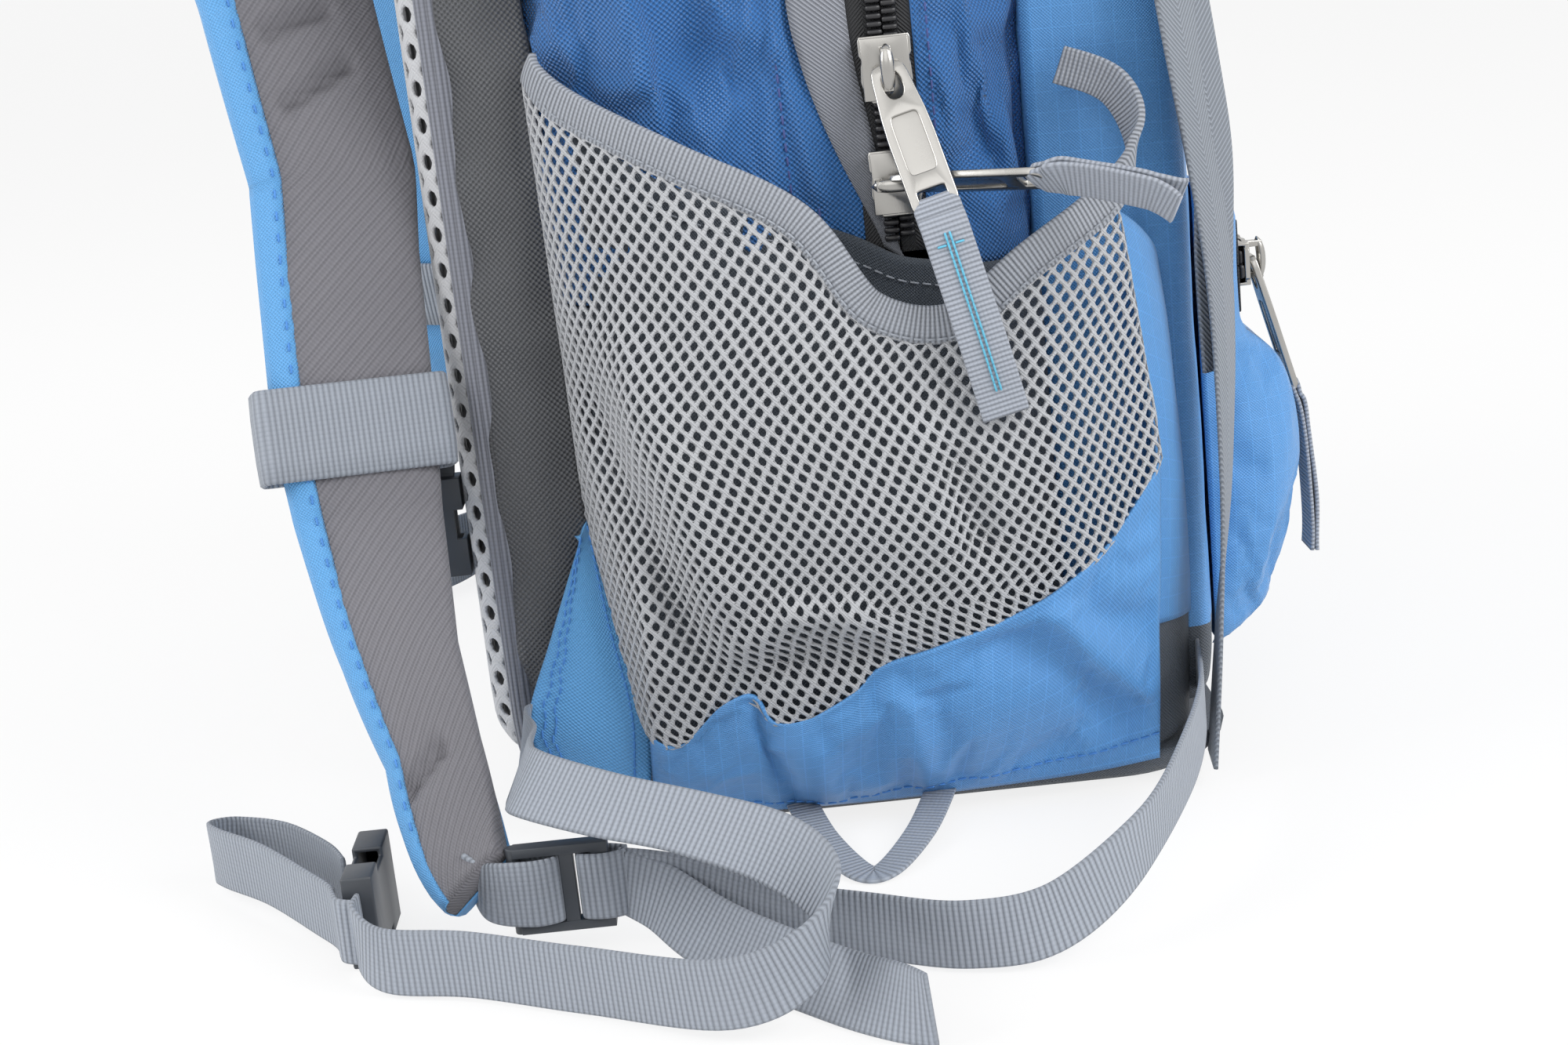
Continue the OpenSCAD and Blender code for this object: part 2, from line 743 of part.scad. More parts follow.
belt_buckle_x = -131;
belt_buckle_y = -220.8;
belt_buckle_z = 14.6;
belt_w = 28;
belt_l = 36;

module belt_buckle_socket() {
  color(black)
    translate([belt_buckle_x, belt_buckle_y, belt_buckle_z])
      rotate([90, 0, 0]) socket_half(belt_w, belt_l);
}

module belt_buckle_plug() {
  color(black)
    right_of()
      translate([belt_buckle_x, belt_buckle_y, belt_buckle_z])
        rotate([90, 0, 0]) plug_half(belt_w, belt_l);
}

// Compression and lash webbing at the front corners

lash_z = 300;
lash_lock_x = 108;
lash_y = -front_width / 2 - 3.4;
lash_pull = [[[60, -half_w - 1.2, lash_z], web_up], [[78, -half_w - 1.4, lash_z], web_up],
  [[92, mix(-half_w, lash_y, 0.5) - 2, lash_z], web_up], [[lash_lock_x - 3.2, lash_y, lash_z], web_up]];
lash_hang = [[[lash_lock_x + 16, lash_y - 3.8, lash_z + 6], [0.6, 0, 1]], [[127, lash_y - 5.2, 280], [1, 0.2, 0.3]],
  [[130, lash_y - 6.5, 240], [0.95, 0.35, 0]], [[138, lash_y - 8, 165], [0.8, 0.6, 0]],
  [[137, lash_y - 9, 100], [0.4, 0.9, 0]], [[134, lash_y - 10, 50], [0.15, 1, 0]],
  [[132, lash_y - 10, 20], [0.1, 1, 0]]];

module lash_strap() {
  color(web_grey) {
    ribbon(lash_pull, web_w, web_t, 3);
    ribbon(lash_hang, web_w, web_t);
  }
}

module left_lash_strap() {
  lash_strap();
}

module right_lash_strap() {
  right_of() lash_strap();
}

module lash_locks() {
  color(black)
    for (m = [0, 1])
      mirror([0, m, 0])
        translate([lash_lock_x, lash_y, lash_z]) lock_frame();
}

haul_x = pad_x - foam_thick / 2;
haul_half = 42;
haul_foot = [[haul_x, -haul_half, panel_top + 0.5], [haul_x, -haul_half - 1, panel_top + 15],
  [haul_x, -haul_half + 7, panel_top + 36], [haul_x, -haul_half + 26, panel_top + 48]];
haul_route = [for (p = concat(haul_foot, [for (i = [3:-1:0]) mirror_y(haul_foot[i])])) [p, [1, 0, 0]]];

module haul_loop() {
  color(web_grey) ribbon(haul_route, web_w, 2, 4);
}

gear_route = [[[-4, -half_w + 0.6, 8], [1, 0, 0]], [[2, -170, 4.5], [0.92, 0.39, 0]],
  [[12, -191, 1.4], [0.6, 0.8, 0]], [[20, -191, 1.4], [-0.4, 0.9, 0]], [[32, -171, 4.5], [-0.85, 0.5, 0]],
  [[41, -half_w + 0.6, 8], [-1, 0, 0]]];

module gear_loops() {
  color(web_grey)
    for (m = [0, 1])
      mirror([0, m, 0]) ribbon(gear_route, loop_w, 1.2, 3);
}

// Zips

tape_t = 0.8;
rail_in = 1.2;
rail_low = skin + tape_t;
plate_t = 1.6;
plate_top = chain_h + slider_gap + plate_t;
pivot_o = plate_top + 2.1;
arch_r = 1.5;

// toothed outline of one half of the chain, from z0 to z1
function comb(z0, z1, shift) = let (n = floor((z1 - z0 - shift) / tooth_pitch) - 1, mid_x = chain_w / 2 - 2.1)
  concat([[chain_w / 2, z0], [chain_w / 2, z1], [mid_x, z1]],
    flat([for (i = [n:-1:0]) let (z = z0 + shift + i * tooth_pitch)
      [[mid_x, z + tooth_pitch * 0.55], [rail_in, z + tooth_pitch * 0.5],
        [rail_in, z + tooth_pitch * 0.05], [mid_x, z]]]),
    [[mid_x, z0]]);

module rail_pair(z0, z1) {
  for (m = [0, 1])
    mirror([m, 0, 0])
      translate([0, -rail_low, 0])
        rotate([90, 0, 0])
          linear_extrude(height = chain_h - rail_low) polygon(comb(z0, z1, m * tooth_pitch / 2 + 0.4));
}

module tape_pair(z0, z1) {
  for (m = [0, 1])
    mirror([m, 0, 0])
      translate([rail_in, -rail_low, z0]) cube([tape_w, tape_t, z1 - z0]);
}

// zip line over the dome at a height o above the cloth
function arch_side(o) = [for (a = [0, 18, 36, 54, 68, dome_end]) let (z = dome_z(a))
  [zip_at(z), -half_at(z) - o * cos(a), z + o * sin(a)]];
function arch_line(o, z0) = let (l = concat([[x_zip, -half_w - o, z0],
    [x_zip, -half_w - o, mix(z0, shoulder_z, 0.5)]], arch_side(o)),
    crest = [[x_ridge + 1, -ridge_half + 14, bag_height + o], [x_ridge, -ridge_half + 40, bag_height + o]])
  concat(l, crest, [for (i = [1:-1:0]) mirror_y(crest[i])], [for (i = [len(l) - 1:-1:0]) mirror_y(l[i])]);

// band beside the zip line, its middle at off to the front or the rear
module arch_band(off, o, width, thick, z0) {
  line = arch_line(o, z0);
  loft([for (i = [0:len(line) - 1])
    let (t = along(line, i), s = unit([1, 0, 0] - t * t[0]), u = cross(t, s), c = line[i] + s * off)
    [c - s * width / 2 - u * thick / 2, c + s * width / 2 - u * thick / 2,
      c + s * width / 2 + u * thick / 2, c - s * width / 2 + u * thick / 2]]);
}

tape_mid = rail_in + tape_w / 2;
rail_w = chain_w / 2 - rail_in;
rail_mid = rail_in + rail_w / 2;
rail_h = chain_h - rail_low;

module main_zip_tape() {
  color(black) {
    for (m = [0, 1])
      mirror([0, m, 0])
        translate([x_zip, -half_w, 0]) tape_pair(zip_low + 1, flap_z - 0.4);
    arch_band(-tape_mid, skin + tape_t / 2 + 0.6, tape_w, tape_t, flap_z + 0.2);
  }
}

module flap_zip_tape() {
  color(black) arch_band(tape_mid, skin + tape_t / 2 + 0.6, tape_w, tape_t, flap_z + 0.6);
}

module main_zip_chain() {
  color(black) {
    for (m = [0, 1])
      mirror([0, m, 0])
        translate([x_zip, -half_w, 0]) rail_pair(zip_low + 2, flap_z - 0.6);
    arch_band(-rail_mid, rail_low + 1.3 + rail_h / 2, rail_w, rail_h, flap_z + 0.2);
  }
}

module flap_zip_chain() {
  color(black) arch_band(rail_mid, rail_low + 1.3 + rail_h / 2, rail_w, rail_h, flap_z + 0.6);
}

// slider with its chain along z and its face toward -y, bridge across or along
module slider(across) {
  side_t = slider_w / 2 - chain_w / 2 - slider_gap;
  inner = chain_h + slider_gap;
  translate([-slider_w / 2, -inner - plate_t, -slider_l / 2]) cube([slider_w, plate_t, slider_l]);
  translate([-slider_w / 2, 0.3, -slider_l / 2]) cube([slider_w, 1.6, slider_l]);
  for (x = [-slider_w / 2, slider_w / 2 - side_t])
    translate([x, -inner, -slider_l / 2]) cube([side_t, inner - rail_low - slider_gap, slider_l]);
  translate([-0.7, -inner, -slider_l / 2 + 2]) cube([1.4, inner + 0.3, 5]);
  translate([0, -plate_top, 0]) rotate([0, across ? 90 : 0, 0]) bridge();
}

// small arch under which the top bar of the pull tab is held
module bridge() {
  for (z = [-6.2, 4.2])
    translate([-arch_r, -4.4, z]) cube([2 * arch_r, 4.4, 2]);
  translate([-arch_r, -5.8, -6.2]) cube([2 * arch_r, 1.5, 12.4]);
}

tab_hole_w = 7.2;
tab_hole_l = 8.5;
tab_bar_r = 1.1;

// pull tab hanging along -z from its top bar at the origin
module pull_tab() {
  corner = 3;
  difference() {
    union() {
      translate([0, tab_t / 2, 0])
        rotate([90, 0, 0])
          linear_extrude(height = tab_t) {
            translate([-tab_w / 2, -tab_l + corner]) square([tab_w, tab_l - corner + 0.6]);
            translate([-tab_w / 2 + corner, -tab_l]) square([tab_w - 2 * corner, corner + 1]);
            for (x = [-tab_w / 2 + corner, tab_w / 2 - corner])
              translate([x, -tab_l + corner]) circle(r = corner, $fn = 24);
          }
      translate([-tab_w / 2, 0, 0]) rotate([0, 90, 0]) cylinder(r = tab_bar_r, h = tab_w, $fn = 24);
    }
    translate([-tab_hole_w / 2, -tab_t, -tab_bar_r - 0.4 - tab_hole_l])
      cube([tab_hole_w, 2 * tab_t, tab_hole_l]);
    translate([-tab_w / 2 + 2.2, -tab_t / 2 - 1, -tab_l + 12]) cube([tab_w - 4.4, 1.5, tab_l - 26]);
    translate([-tab_w / 2 + 2.2, -tab_t, -tab_l + 3]) cube([tab_w - 4.4, 2 * tab_t, 5]);
  }
}

upper_z = 232;
lower_z = 199;
upper_lean = -14;
upper_out = -28;
lower_out = -28;
belly_out = -15;
belly_y = -belly_width / 2 + 34;
side_pivot_y = -half_w - pivot_o;
puller_t = 3.2;
puller_w = tab_w + 1;

upper_dir = [sin(-upper_lean) * cos(upper_out), sin(upper_out), -cos(upper_lean) * cos(upper_out)];
lower_dir = [cos(lower_out), sin(lower_out), 0];
belly_dir = [sin(-belly_out), 0, -cos(belly_out)];
upper_pivot = [x_zip, side_pivot_y, upper_z];
lower_pivot = [x_zip, side_pivot_y, lower_z];
belly_pivot = [zip_face + pivot_o, belly_y, belly_zip_z];

module upper_slider() {
  color(metal) translate([x_zip, -half_w, upper_z]) slider(false);
}

module upper_pull_tab() {
  color(metal) translate(upper_pivot) rotate([0, upper_lean, 0]) rotate([upper_out, 0, 0]) pull_tab();
}

// folded webbing that goes on from the low end of a pull tab
module puller(pivot, dir, bend, side) {
  p0 = pivot + dir * (tab_l + 0.2);
  p1 = pivot + dir * (tab_l + 8);
  color(web_grey)
    ribbon([[p0, side], [p1, side], [mix(p1, p1 + bend, 0.5) + dir * 5, side], [p1 + bend, side]],
      puller_w, puller_t, 3);
}

module upper_puller() {
  puller(upper_pivot, upper_dir, [12, -4, -puller_l + 10], [1, 0, 0.2]);
}

module lower_slider() {
  color(metal) translate([x_zip, -half_w, lower_z]) slider(true);
}

module lower_pull_tab() {
  color(metal) translate(lower_pivot) rotate([0, 0, lower_out]) rotate([0, -90, 0]) pull_tab();
}

module lower_puller() {
  puller(lower_pivot, lower_dir, [puller_l * 0.66, -10, -4], [0, 0, 1]);
}

// Zip of the belly pocket, its chain runs along y and its face is toward +x

belly_zip_half = belly_width / 2 - 24;

module on_belly(y) {
  multmatrix([[0, -1, 0, zip_face], [0, 0, 1, y], [-1, 0, 0, belly_zip_z], [0, 0, 0, 1]]) children();
}

module belly_zip() {
  color(black)
    on_belly(0) {
      tape_pair(-belly_zip_half, belly_zip_half);
      rail_pair(-belly_zip_half + 1, belly_zip_half - 1);
    }
}

module belly_slider() {
  color(metal) on_belly(belly_y) slider(true);
}

module belly_pull_tab() {
  color(metal) translate(belly_pivot) rotate([0, belly_out, 0]) rotate([0, 0, 90]) pull_tab();
}

module belly_puller() {
  puller(belly_pivot, belly_dir, [1.5, 0, -puller_l + 14], [0, 1, 0]);
}

// Parts are listed at the end, each drawn under its own name

bottom_panel();
left_side_panel();
right_side_panel();
left_front_gusset();
right_front_gusset();
left_pocket_back();
right_pocket_back();
back_wall();
front_wall();
top_flap();
front_compartment();
belly_pocket();
back_foam();
frame_sheet();
back_gusset();
back_binding();
back_spacer_mesh();
left_pocket_mesh();
right_pocket_mesh();
left_pocket_base();
right_pocket_base();
left_pocket_binding();
right_pocket_binding();
left_hip_fin();
right_hip_fin();
left_strap_pad();
right_strap_pad();
left_strap_cover();
right_strap_cover();
left_chest_band();
right_chest_band();
chest_buckle_socket();
chest_buckle_plug();
left_ladder_lock();
right_ladder_lock();
left_strap_webbing();
right_strap_webbing();
left_belt_webbing();
right_belt_webbing();
belt_buckle_socket();
belt_buckle_plug();
left_lash_strap();
right_lash_strap();
lash_locks();
haul_loop();
gear_loops();
main_zip_tape();
flap_zip_tape();
main_zip_chain();
flap_zip_chain();
upper_slider();
upper_pull_tab();
upper_puller();
lower_slider();
lower_pull_tab();
lower_puller();
belly_zip();
belly_slider();
belly_pull_tab();
belly_puller();
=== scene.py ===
"""Looks of a standing daypack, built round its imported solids.

The front of the pack is +X, the harness is on -X, the left side is -Y and the floor is z = 0.
Shapes are worked out in millimetres and turned into metres when a mesh is made.
"""

import logging
import math
from contextlib import contextmanager
from dataclasses import dataclass, field
from enum import Enum
from typing import Callable, Iterable, Iterator, Sequence

import bmesh
import bpy
import numpy as np
from mathutils import Matrix, Vector, noise
from mathutils.bvhtree import BVHTree


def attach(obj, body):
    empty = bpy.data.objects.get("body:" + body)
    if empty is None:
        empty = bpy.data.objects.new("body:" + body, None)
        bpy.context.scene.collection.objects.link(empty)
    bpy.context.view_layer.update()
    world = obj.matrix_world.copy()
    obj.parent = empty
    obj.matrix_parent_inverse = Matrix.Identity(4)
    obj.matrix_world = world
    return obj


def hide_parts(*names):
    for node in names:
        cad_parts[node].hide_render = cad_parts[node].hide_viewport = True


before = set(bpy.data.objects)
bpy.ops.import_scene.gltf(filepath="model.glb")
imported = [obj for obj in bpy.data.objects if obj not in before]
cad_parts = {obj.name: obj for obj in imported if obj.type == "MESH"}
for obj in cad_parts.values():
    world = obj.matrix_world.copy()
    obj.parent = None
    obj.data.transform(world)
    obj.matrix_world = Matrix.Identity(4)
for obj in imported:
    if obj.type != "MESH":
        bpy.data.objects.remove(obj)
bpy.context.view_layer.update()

log = logging.getLogger("daypack")
Points = np.ndarray
Rgb = tuple[float, float, float]
# Middle of the bag in mm, metres in a mm, mm in a metre, steps of the cloth solver
CORE = np.array([10.0, 0.0, 200.0])
MM = 0.001
PER_METRE = 1000.0
SETTLING_STEPS = 20
# Ending of a piece that shares its name with a solid
DRESSED = "_dressed"
# Directions of the pack
FORWARD = (1.0, 0.0, 0.0)
UP = (0.0, 0.0, 1.0)
# Half the gauge of a zip, and the spacing of its teeth, in mm
GAUGE = 2.25
TOOTH_PITCH = 2.3


# Curves and grids


def arr(points: Iterable) -> Points:
    """Returns points as an array of floats."""
    return np.array(points, dtype=float)


def unit(v: Points) -> Points:
    """Returns v scaled to length one along its last axis."""
    return v / np.maximum(np.linalg.norm(v, axis=-1, keepdims=True), 1e-9)


def spline(points: Sequence, n: int) -> Points:
    """Smooth line through points.

    Args:
        points: the points, or any rows of numbers, to pass through.
        n: steps in each stretch.

    Returns:
        The points of the line, as an array.
    """
    p = arr(points)
    last = len(p) - 1
    out = []
    for i in range(last):
        a, b, c, d = (p[min(last, max(0, i + k))] for k in (-1, 0, 1, 2))
        for k in range(n):
            t = k / n
            out.append(0.5 * (2 * b + (c - a) * t + (2 * a - 5 * b + 4 * c - d) * t**2
                              + (3 * b - a - 3 * c + d) * t**3))
    return arr(out + [p[last]])


def run_of(line: Points) -> Points:
    """Returns the distance of each point of a line from its start."""
    return np.concatenate([[0], np.cumsum(np.linalg.norm(np.diff(line, axis=0), axis=1))])


def flat_run(x: Points, y: Points) -> Points:
    """Returns the distance of each point of a flat line from its start."""
    return np.concatenate([[0], np.cumsum(np.hypot(np.diff(x), np.diff(y)))])


def resample(line: Points, m: int) -> Points:
    """Returns m points at equal steps along a line."""
    at = run_of(line)
    want = np.linspace(0, at[-1], m)
    return np.stack([np.interp(want, at, line[:, k]) for k in range(line.shape[1])], axis=1)


def tangents(line: Points) -> Points:
    """Returns the direction of a line at each of its points."""
    return unit(np.gradient(line, axis=0))


def side_frame(line: Points, side: Points) -> tuple[Points, Points, Points]:
    """Returns tangent, width direction and face direction along a line."""
    t = tangents(line)
    s = unit(side - t * np.sum(side * t, axis=1, keepdims=True))
    return t, s, np.cross(t, s)


def facing(way: Sequence[float], points: Points) -> Points:
    """Returns one direction, repeated for each of some points."""
    return np.broadcast_to(arr(way), points.shape)


def mirrored(points: Points) -> Points:
    """Returns points on the other side of the pack."""
    return points * arr([1, -1, 1])


def rumple(p: Points, size: float, seed: float, stretch: Sequence[float] = (1, 1, 1)) -> Points:
    """Smooth folds of cloth.

    Args:
        p: grid or list of points in mm.
        size: spacing of the folds in mm.
        seed: moves the pattern.
        stretch: lengthens the folds along each axis.

    Returns:
        One value from about -1 to 1 for each point.
    """
    q = (p / (size * arr(stretch)) + seed * 17.3).reshape(-1, 3)
    return arr([noise.noise(Vector(v)) for v in q]).reshape(p.shape[:-1])


def surface_at(grid: Points, a: Points, b: Points) -> Points:
    """Points of a grid at fractions a of its rows and b of its columns."""
    n, m = grid.shape[:2]
    y, x = np.clip(a, 0, 1) * (n - 1), np.clip(b, 0, 1) * (m - 1)
    i, j = np.minimum(y.astype(int), n - 2), np.minimum(x.astype(int), m - 2)
    fy, fx = (y - i)[..., None], (x - j)[..., None]
    return ((grid[i, j] * (1 - fy) + grid[i + 1, j] * fy) * (1 - fx)
            + (grid[i, j + 1] * (1 - fy) + grid[i + 1, j + 1] * fy) * fx)


def grid_normals(grid: Points) -> Points:
    """Returns the face direction of a grid at each of its points."""
    return unit(np.cross(np.gradient(grid, axis=1), np.gradient(grid, axis=0)))


def outward(grid: Points) -> Points:
    """Returns the face direction of a grid at each point, away from the middle of the bag."""
    n = grid_normals(grid)
    return n if float(np.sum((grid - CORE) * n, axis=-1).mean()) >= 0 else -n


def eased(n: int, k: int) -> Points:
    """Returns n weights that rise from 0 at both ends to 1 over k steps."""
    t = np.clip(np.minimum(np.arange(n), np.arange(n)[::-1]) / k, 0, 1)
    return t * t * (3 - 2 * t)


def creased(grid: Points, deep: float, size: float, seed: float,
            stretch: Sequence[float] = (1, 1, 1), rows: int = 5, cols: int = 5) -> Points:
    """Returns a grid with soft folds that die out at its edges.

    Args:
        grid: points in mm.
        deep: depth of the folds in mm.
        size: their spacing in mm.
        seed: moves the pattern.
        stretch: lengthens the folds along each axis.
        rows: rows over which the folds die out.
        cols: columns over which they die out.

    Returns:
        The new grid.
    """
    n, m = grid.shape[:2]
    still = eased(n, rows)[:, None] * eased(m, cols)[None, :]
    lift = (deep * (rumple(grid, size, seed, stretch)
                    + 0.35 * rumple(grid, size * 0.4, seed + 3, stretch)))
    return grid + outward(grid) * (lift * still)[..., None]


def folds(points: Points, rows: Sequence) -> Points:
    """Straight soft folds seen from the side of the pack.

    Args:
        points: grid or list of points in mm.
        rows: x and z of both ends, height and width of each fold.

    Returns:
        The lift at each point.
    """
    lift = np.zeros(points.shape[:-1])
    for x0, z0, x1, z1, high, wide in rows:
        way = arr([x1 - x0, z1 - z0])
        off = points[..., [0, 2]] - arr([x0, z0])
        part = np.clip(off @ way / (way @ way), 0, 1)
        lift += high * np.exp(-(np.linalg.norm(off - part[..., None] * way, axis=-1) / wide) ** 2)
    return lift


def within(points: Points, ring: Points) -> Points:
    """Tells which flat points lie inside a closed flat outline.

    Args:
        points: rows of two coordinates.
        ring: corners of the outline.

    Returns:
        True for each point inside.
    """
    a, b = ring, np.roll(ring, -1, axis=0)
    x, y = points[:, :1], points[:, 1:]
    span = np.where(b[:, 1] == a[:, 1], 1e-9, b[:, 1] - a[:, 1])
    crossed = (((a[:, 1] > y) != (b[:, 1] > y))
               & (x < a[:, 0] + (y - a[:, 1]) / span * (b[:, 0] - a[:, 0])))
    return crossed.sum(axis=1) % 2 == 1


# Finishes


def linear(rgb: Sequence[float]) -> Rgb:
    """Returns a screen colour from 0 to 255 as light values."""
    return tuple((c / 255 / 12.92) if c / 255 <= 0.04045 else ((c / 255 + 0.055) / 1.055) ** 2.4
                 for c in rgb)


class NodeKit:
    """Adds and links the nodes of one tree."""

    def __init__(self, owner: bpy.types.ID) -> None:
        """Empties the tree of a material or a world."""
        owner.use_nodes = True
        self.tree = owner.node_tree
        self.tree.nodes.clear()

    def add(self, kind: str, **props: object) -> bpy.types.Node:
        """Returns a new node with its properties set."""
        node = self.tree.nodes.new(kind)
        for key, value in props.items():
            setattr(node, key, value)
        return node

    def link(self, a: object, b: object) -> None:
        """Links two sockets."""
        self.tree.links.new(a, b)

    def feed(self, socket: object, value: object) -> None:
        """Links a socket, or sets its number."""
        if isinstance(value, bpy.types.NodeSocket):
            self.link(value, socket)
        else:
            socket.default_value = value

    def math(self, operation: str, a: object, b: object = 0.0) -> object:
        """Returns the result of a math node."""
        node = self.add("ShaderNodeMath", operation=operation)
        self.feed(node.inputs[0], a)
        self.feed(node.inputs[1], b)
        return node.outputs[0]

    def wave(self, value: object, turn: float) -> object:
        """Returns the sine of a value times turn."""
        return self.math("SINE", self.math("MULTIPLY", value, turn))

    def scaled(self, value: object, by: object, plus: object) -> object:
        """Returns a value times by, plus another."""
        return self.math("ADD", self.math("MULTIPLY", value, by), plus)

    def seen(self) -> object:
        """Returns 1 for rays that show the thing itself and 0 for those that only light others."""
        path = self.add("ShaderNodeLightPath")
        shown = path.outputs["Is Camera Ray"]
        for ray in ("Is Glossy Ray", "Is Transmission Ray"):
            shown = self.math("MAXIMUM", shown, path.outputs[ray])
        return shown


class ShaderTree(NodeKit):
    """The nodes of one material."""

    def __init__(self, name: str) -> None:
        """Starts a material with an empty tree."""
        self.material = bpy.data.materials.new(name)
        super().__init__(self.material)
        self.out = self.add("ShaderNodeOutputMaterial")
        self.shader = self.add("ShaderNodeBsdfPrincipled")
        self.link(self.shader.outputs[0], self.out.inputs[0])

    def noise(self, scale: float, detail: float = 2.0,
              stretch: Sequence[float] = (1, 1, 1)) -> object:
        """Returns noise on the piece's own place, scale in turns for each metre."""
        place = self.add("ShaderNodeMapping")
        place.inputs["Scale"].default_value = stretch
        self.link(self.add("ShaderNodeTexCoord").outputs["Object"], place.inputs[0])
        node = self.add("ShaderNodeTexNoise")
        self.link(place.outputs[0], node.inputs["Vector"])
        node.inputs["Scale"].default_value = scale
        node.inputs["Detail"].default_value = detail
        return node.outputs[0]

    def mix(self, factor: object, a: Rgb, b: Rgb) -> object:
        """Returns a colour between two colours."""
        node = self.add("ShaderNodeMix", data_type="RGBA")
        self.feed(node.inputs[0], factor)
        for socket, c in ((node.inputs[6], a), (node.inputs[7], b)):
            self.feed(socket, c if isinstance(c, bpy.types.NodeSocket) else (*c, 1))
        return node.outputs[2]

    def bump(self, height: object, depth: float, strength: float = 1.0) -> None:
        """Raises the surface by a height from 0 to 1 times depth in metres."""
        node = self.add("ShaderNodeBump")
        node.inputs["Strength"].default_value = strength
        node.inputs["Distance"].default_value = depth
        self.link(height, node.inputs["Height"])
        self.link(node.outputs[0], self.shader.inputs["Normal"])

    def set(self, **values: object) -> None:
        """Sets the shader's own sockets by name."""
        for key, value in values.items():
            self.feed(self.shader.inputs[key.replace("_", " ")], value)


class Weave(Enum):
    """How the threads of a cloth cross."""

    BASKET = "basket"
    RIB = "rib"
    CORD = "cord"
    KNIT = "knit"
    TWILL = "twill"


@dataclass(frozen=True)
class Finish:
    """A named finish with its main colour and the name of its slot."""

    name: str
    colour: Rgb
    roughness: float = 0.7
    slot: str = ""

    def material(self) -> bpy.types.Material:
        """Returns the material, made on its first use."""
        if self.name not in bpy.data.materials:
            self.dress(ShaderTree(self.name))
        return bpy.data.materials[self.name]

    def dress(self, tree: ShaderTree) -> None:
        """Fills in the nodes of the material."""
        tree.set(Base_Color=(*linear(self.colour), 1), Roughness=self.roughness)


@dataclass(frozen=True)
class Cloth(Finish):
    """Cloth or webbing whose threads follow the piece's own map, in metres."""

    weave: Weave = Weave.BASKET
    pitch: float = 0.0011
    depth: float = 0.00035
    # gap: share of the colour left in the hollows between threads, as painted shade
    gap: float = 0.62
    fade: float = 0.16
    sheen: float = 0.25
    ripstop: float = 0.0
    edge: float = 0.0

    def dress(self, tree: ShaderTree) -> None:
        """Fills in the weave with painted shade in the hollows between its threads, its fading and
        its sheen.
        """
        across, along = self.coordinates(tree)
        height = self.threads(tree, across, along)
        tone = tree.noise(9.0, 3.0)
        fine_tone = tree.noise(420.0, 1.0)
        base = linear(self.colour)
        # dark: colour of the hollows between the threads, painted shade
        dark = tuple(c * self.gap for c in base)
        pale = tuple(min(1.0, c * (1 + self.fade) + 0.02 * self.fade) for c in base)
        deep = tuple(c * (1 - self.fade) for c in base)
        body = tree.mix(tone, deep, pale)
        body = tree.mix(tree.math("MULTIPLY", fine_tone, 0.25), body, base)
        # painted shade: the colour sinks to dark where the threads sink
        colour = tree.mix(height, dark, body)
        if self.ripstop:
            lines = [tree.math("GREATER_THAN", tree.wave(v, 2 * math.pi / self.ripstop), 0.965)
                     for v in (across, along)]
            line = tree.math("MAXIMUM", *lines)
            colour = tree.mix(tree.math("MULTIPLY", line, 0.4), colour, pale)
            height = tree.scaled(line, 0.8, height)
        if self.edge:
            rim = tree.math("GREATER_THAN", tree.math("ABSOLUTE", across), self.edge)
            colour = tree.mix(tree.math("MULTIPLY", rim, 0.35), colour, dark)
        tree.set(Base_Color=colour, Roughness=self.roughness, Sheen_Weight=self.sheen,
                 Sheen_Roughness=0.45)
        tree.bump(height, depth=self.depth)

    def coordinates(self, tree: ShaderTree) -> tuple[object, object]:
        """Returns the places across and along the cloth."""
        split = tree.add("ShaderNodeSeparateXYZ")
        tree.link(tree.add("ShaderNodeUVMap", uv_map="cloth").outputs[0], split.inputs[0])
        return split.outputs[0], split.outputs[1]

    def threads(self, tree: ShaderTree, across: object, along: object) -> object:
        """Returns the height of the threads from 0 to 1."""
        turn = 2 * math.pi / self.pitch
        a, b = tree.wave(across, turn), tree.wave(along, turn)
        if self.weave in (Weave.RIB, Weave.CORD):
            first, second = (along, across) if self.weave is Weave.RIB else (across, along)
            ribs = tree.math("ABSOLUTE", tree.wave(first, turn / 2))
            cords = tree.math("ABSOLUTE", tree.wave(second, turn * 0.6))
            return tree.scaled(ribs, 0.84, tree.math("MULTIPLY", cords, 0.16))
        if self.weave is Weave.TWILL:
            lean = tree.math("MULTIPLY", tree.math("ABSOLUTE", across), turn)
            slant = tree.scaled(along, turn, lean)
            return tree.scaled(tree.math("SINE", slant), 0.5, 0.5)
        if self.weave is Weave.KNIT:
            c = tree.wave(tree.math("ADD", across, along), turn * 0.7)
            return tree.scaled(tree.scaled(a, b, c), 0.25, 0.5)
        return tree.scaled(tree.math("MULTIPLY", a, b), 0.5, 0.5)


@dataclass(frozen=True)
class Moulded(Finish):
    """Moulded plastic or foam with a fine grain."""

    grain: float = 900.0
    depth: float = 0.00006

    def dress(self, tree: ShaderTree) -> None:
        """Fills in the grain and its rubbed places."""
        base = linear(self.colour)
        grain = tree.noise(self.grain, 2.0)
        tree.set(Base_Color=tree.mix(tree.noise(30.0), tuple(c * 0.8 for c in base),
                                     tuple(min(1, c * 1.25) for c in base)),
                 Roughness=self.roughness)
        tree.bump(grain, depth=self.depth, strength=0.6)


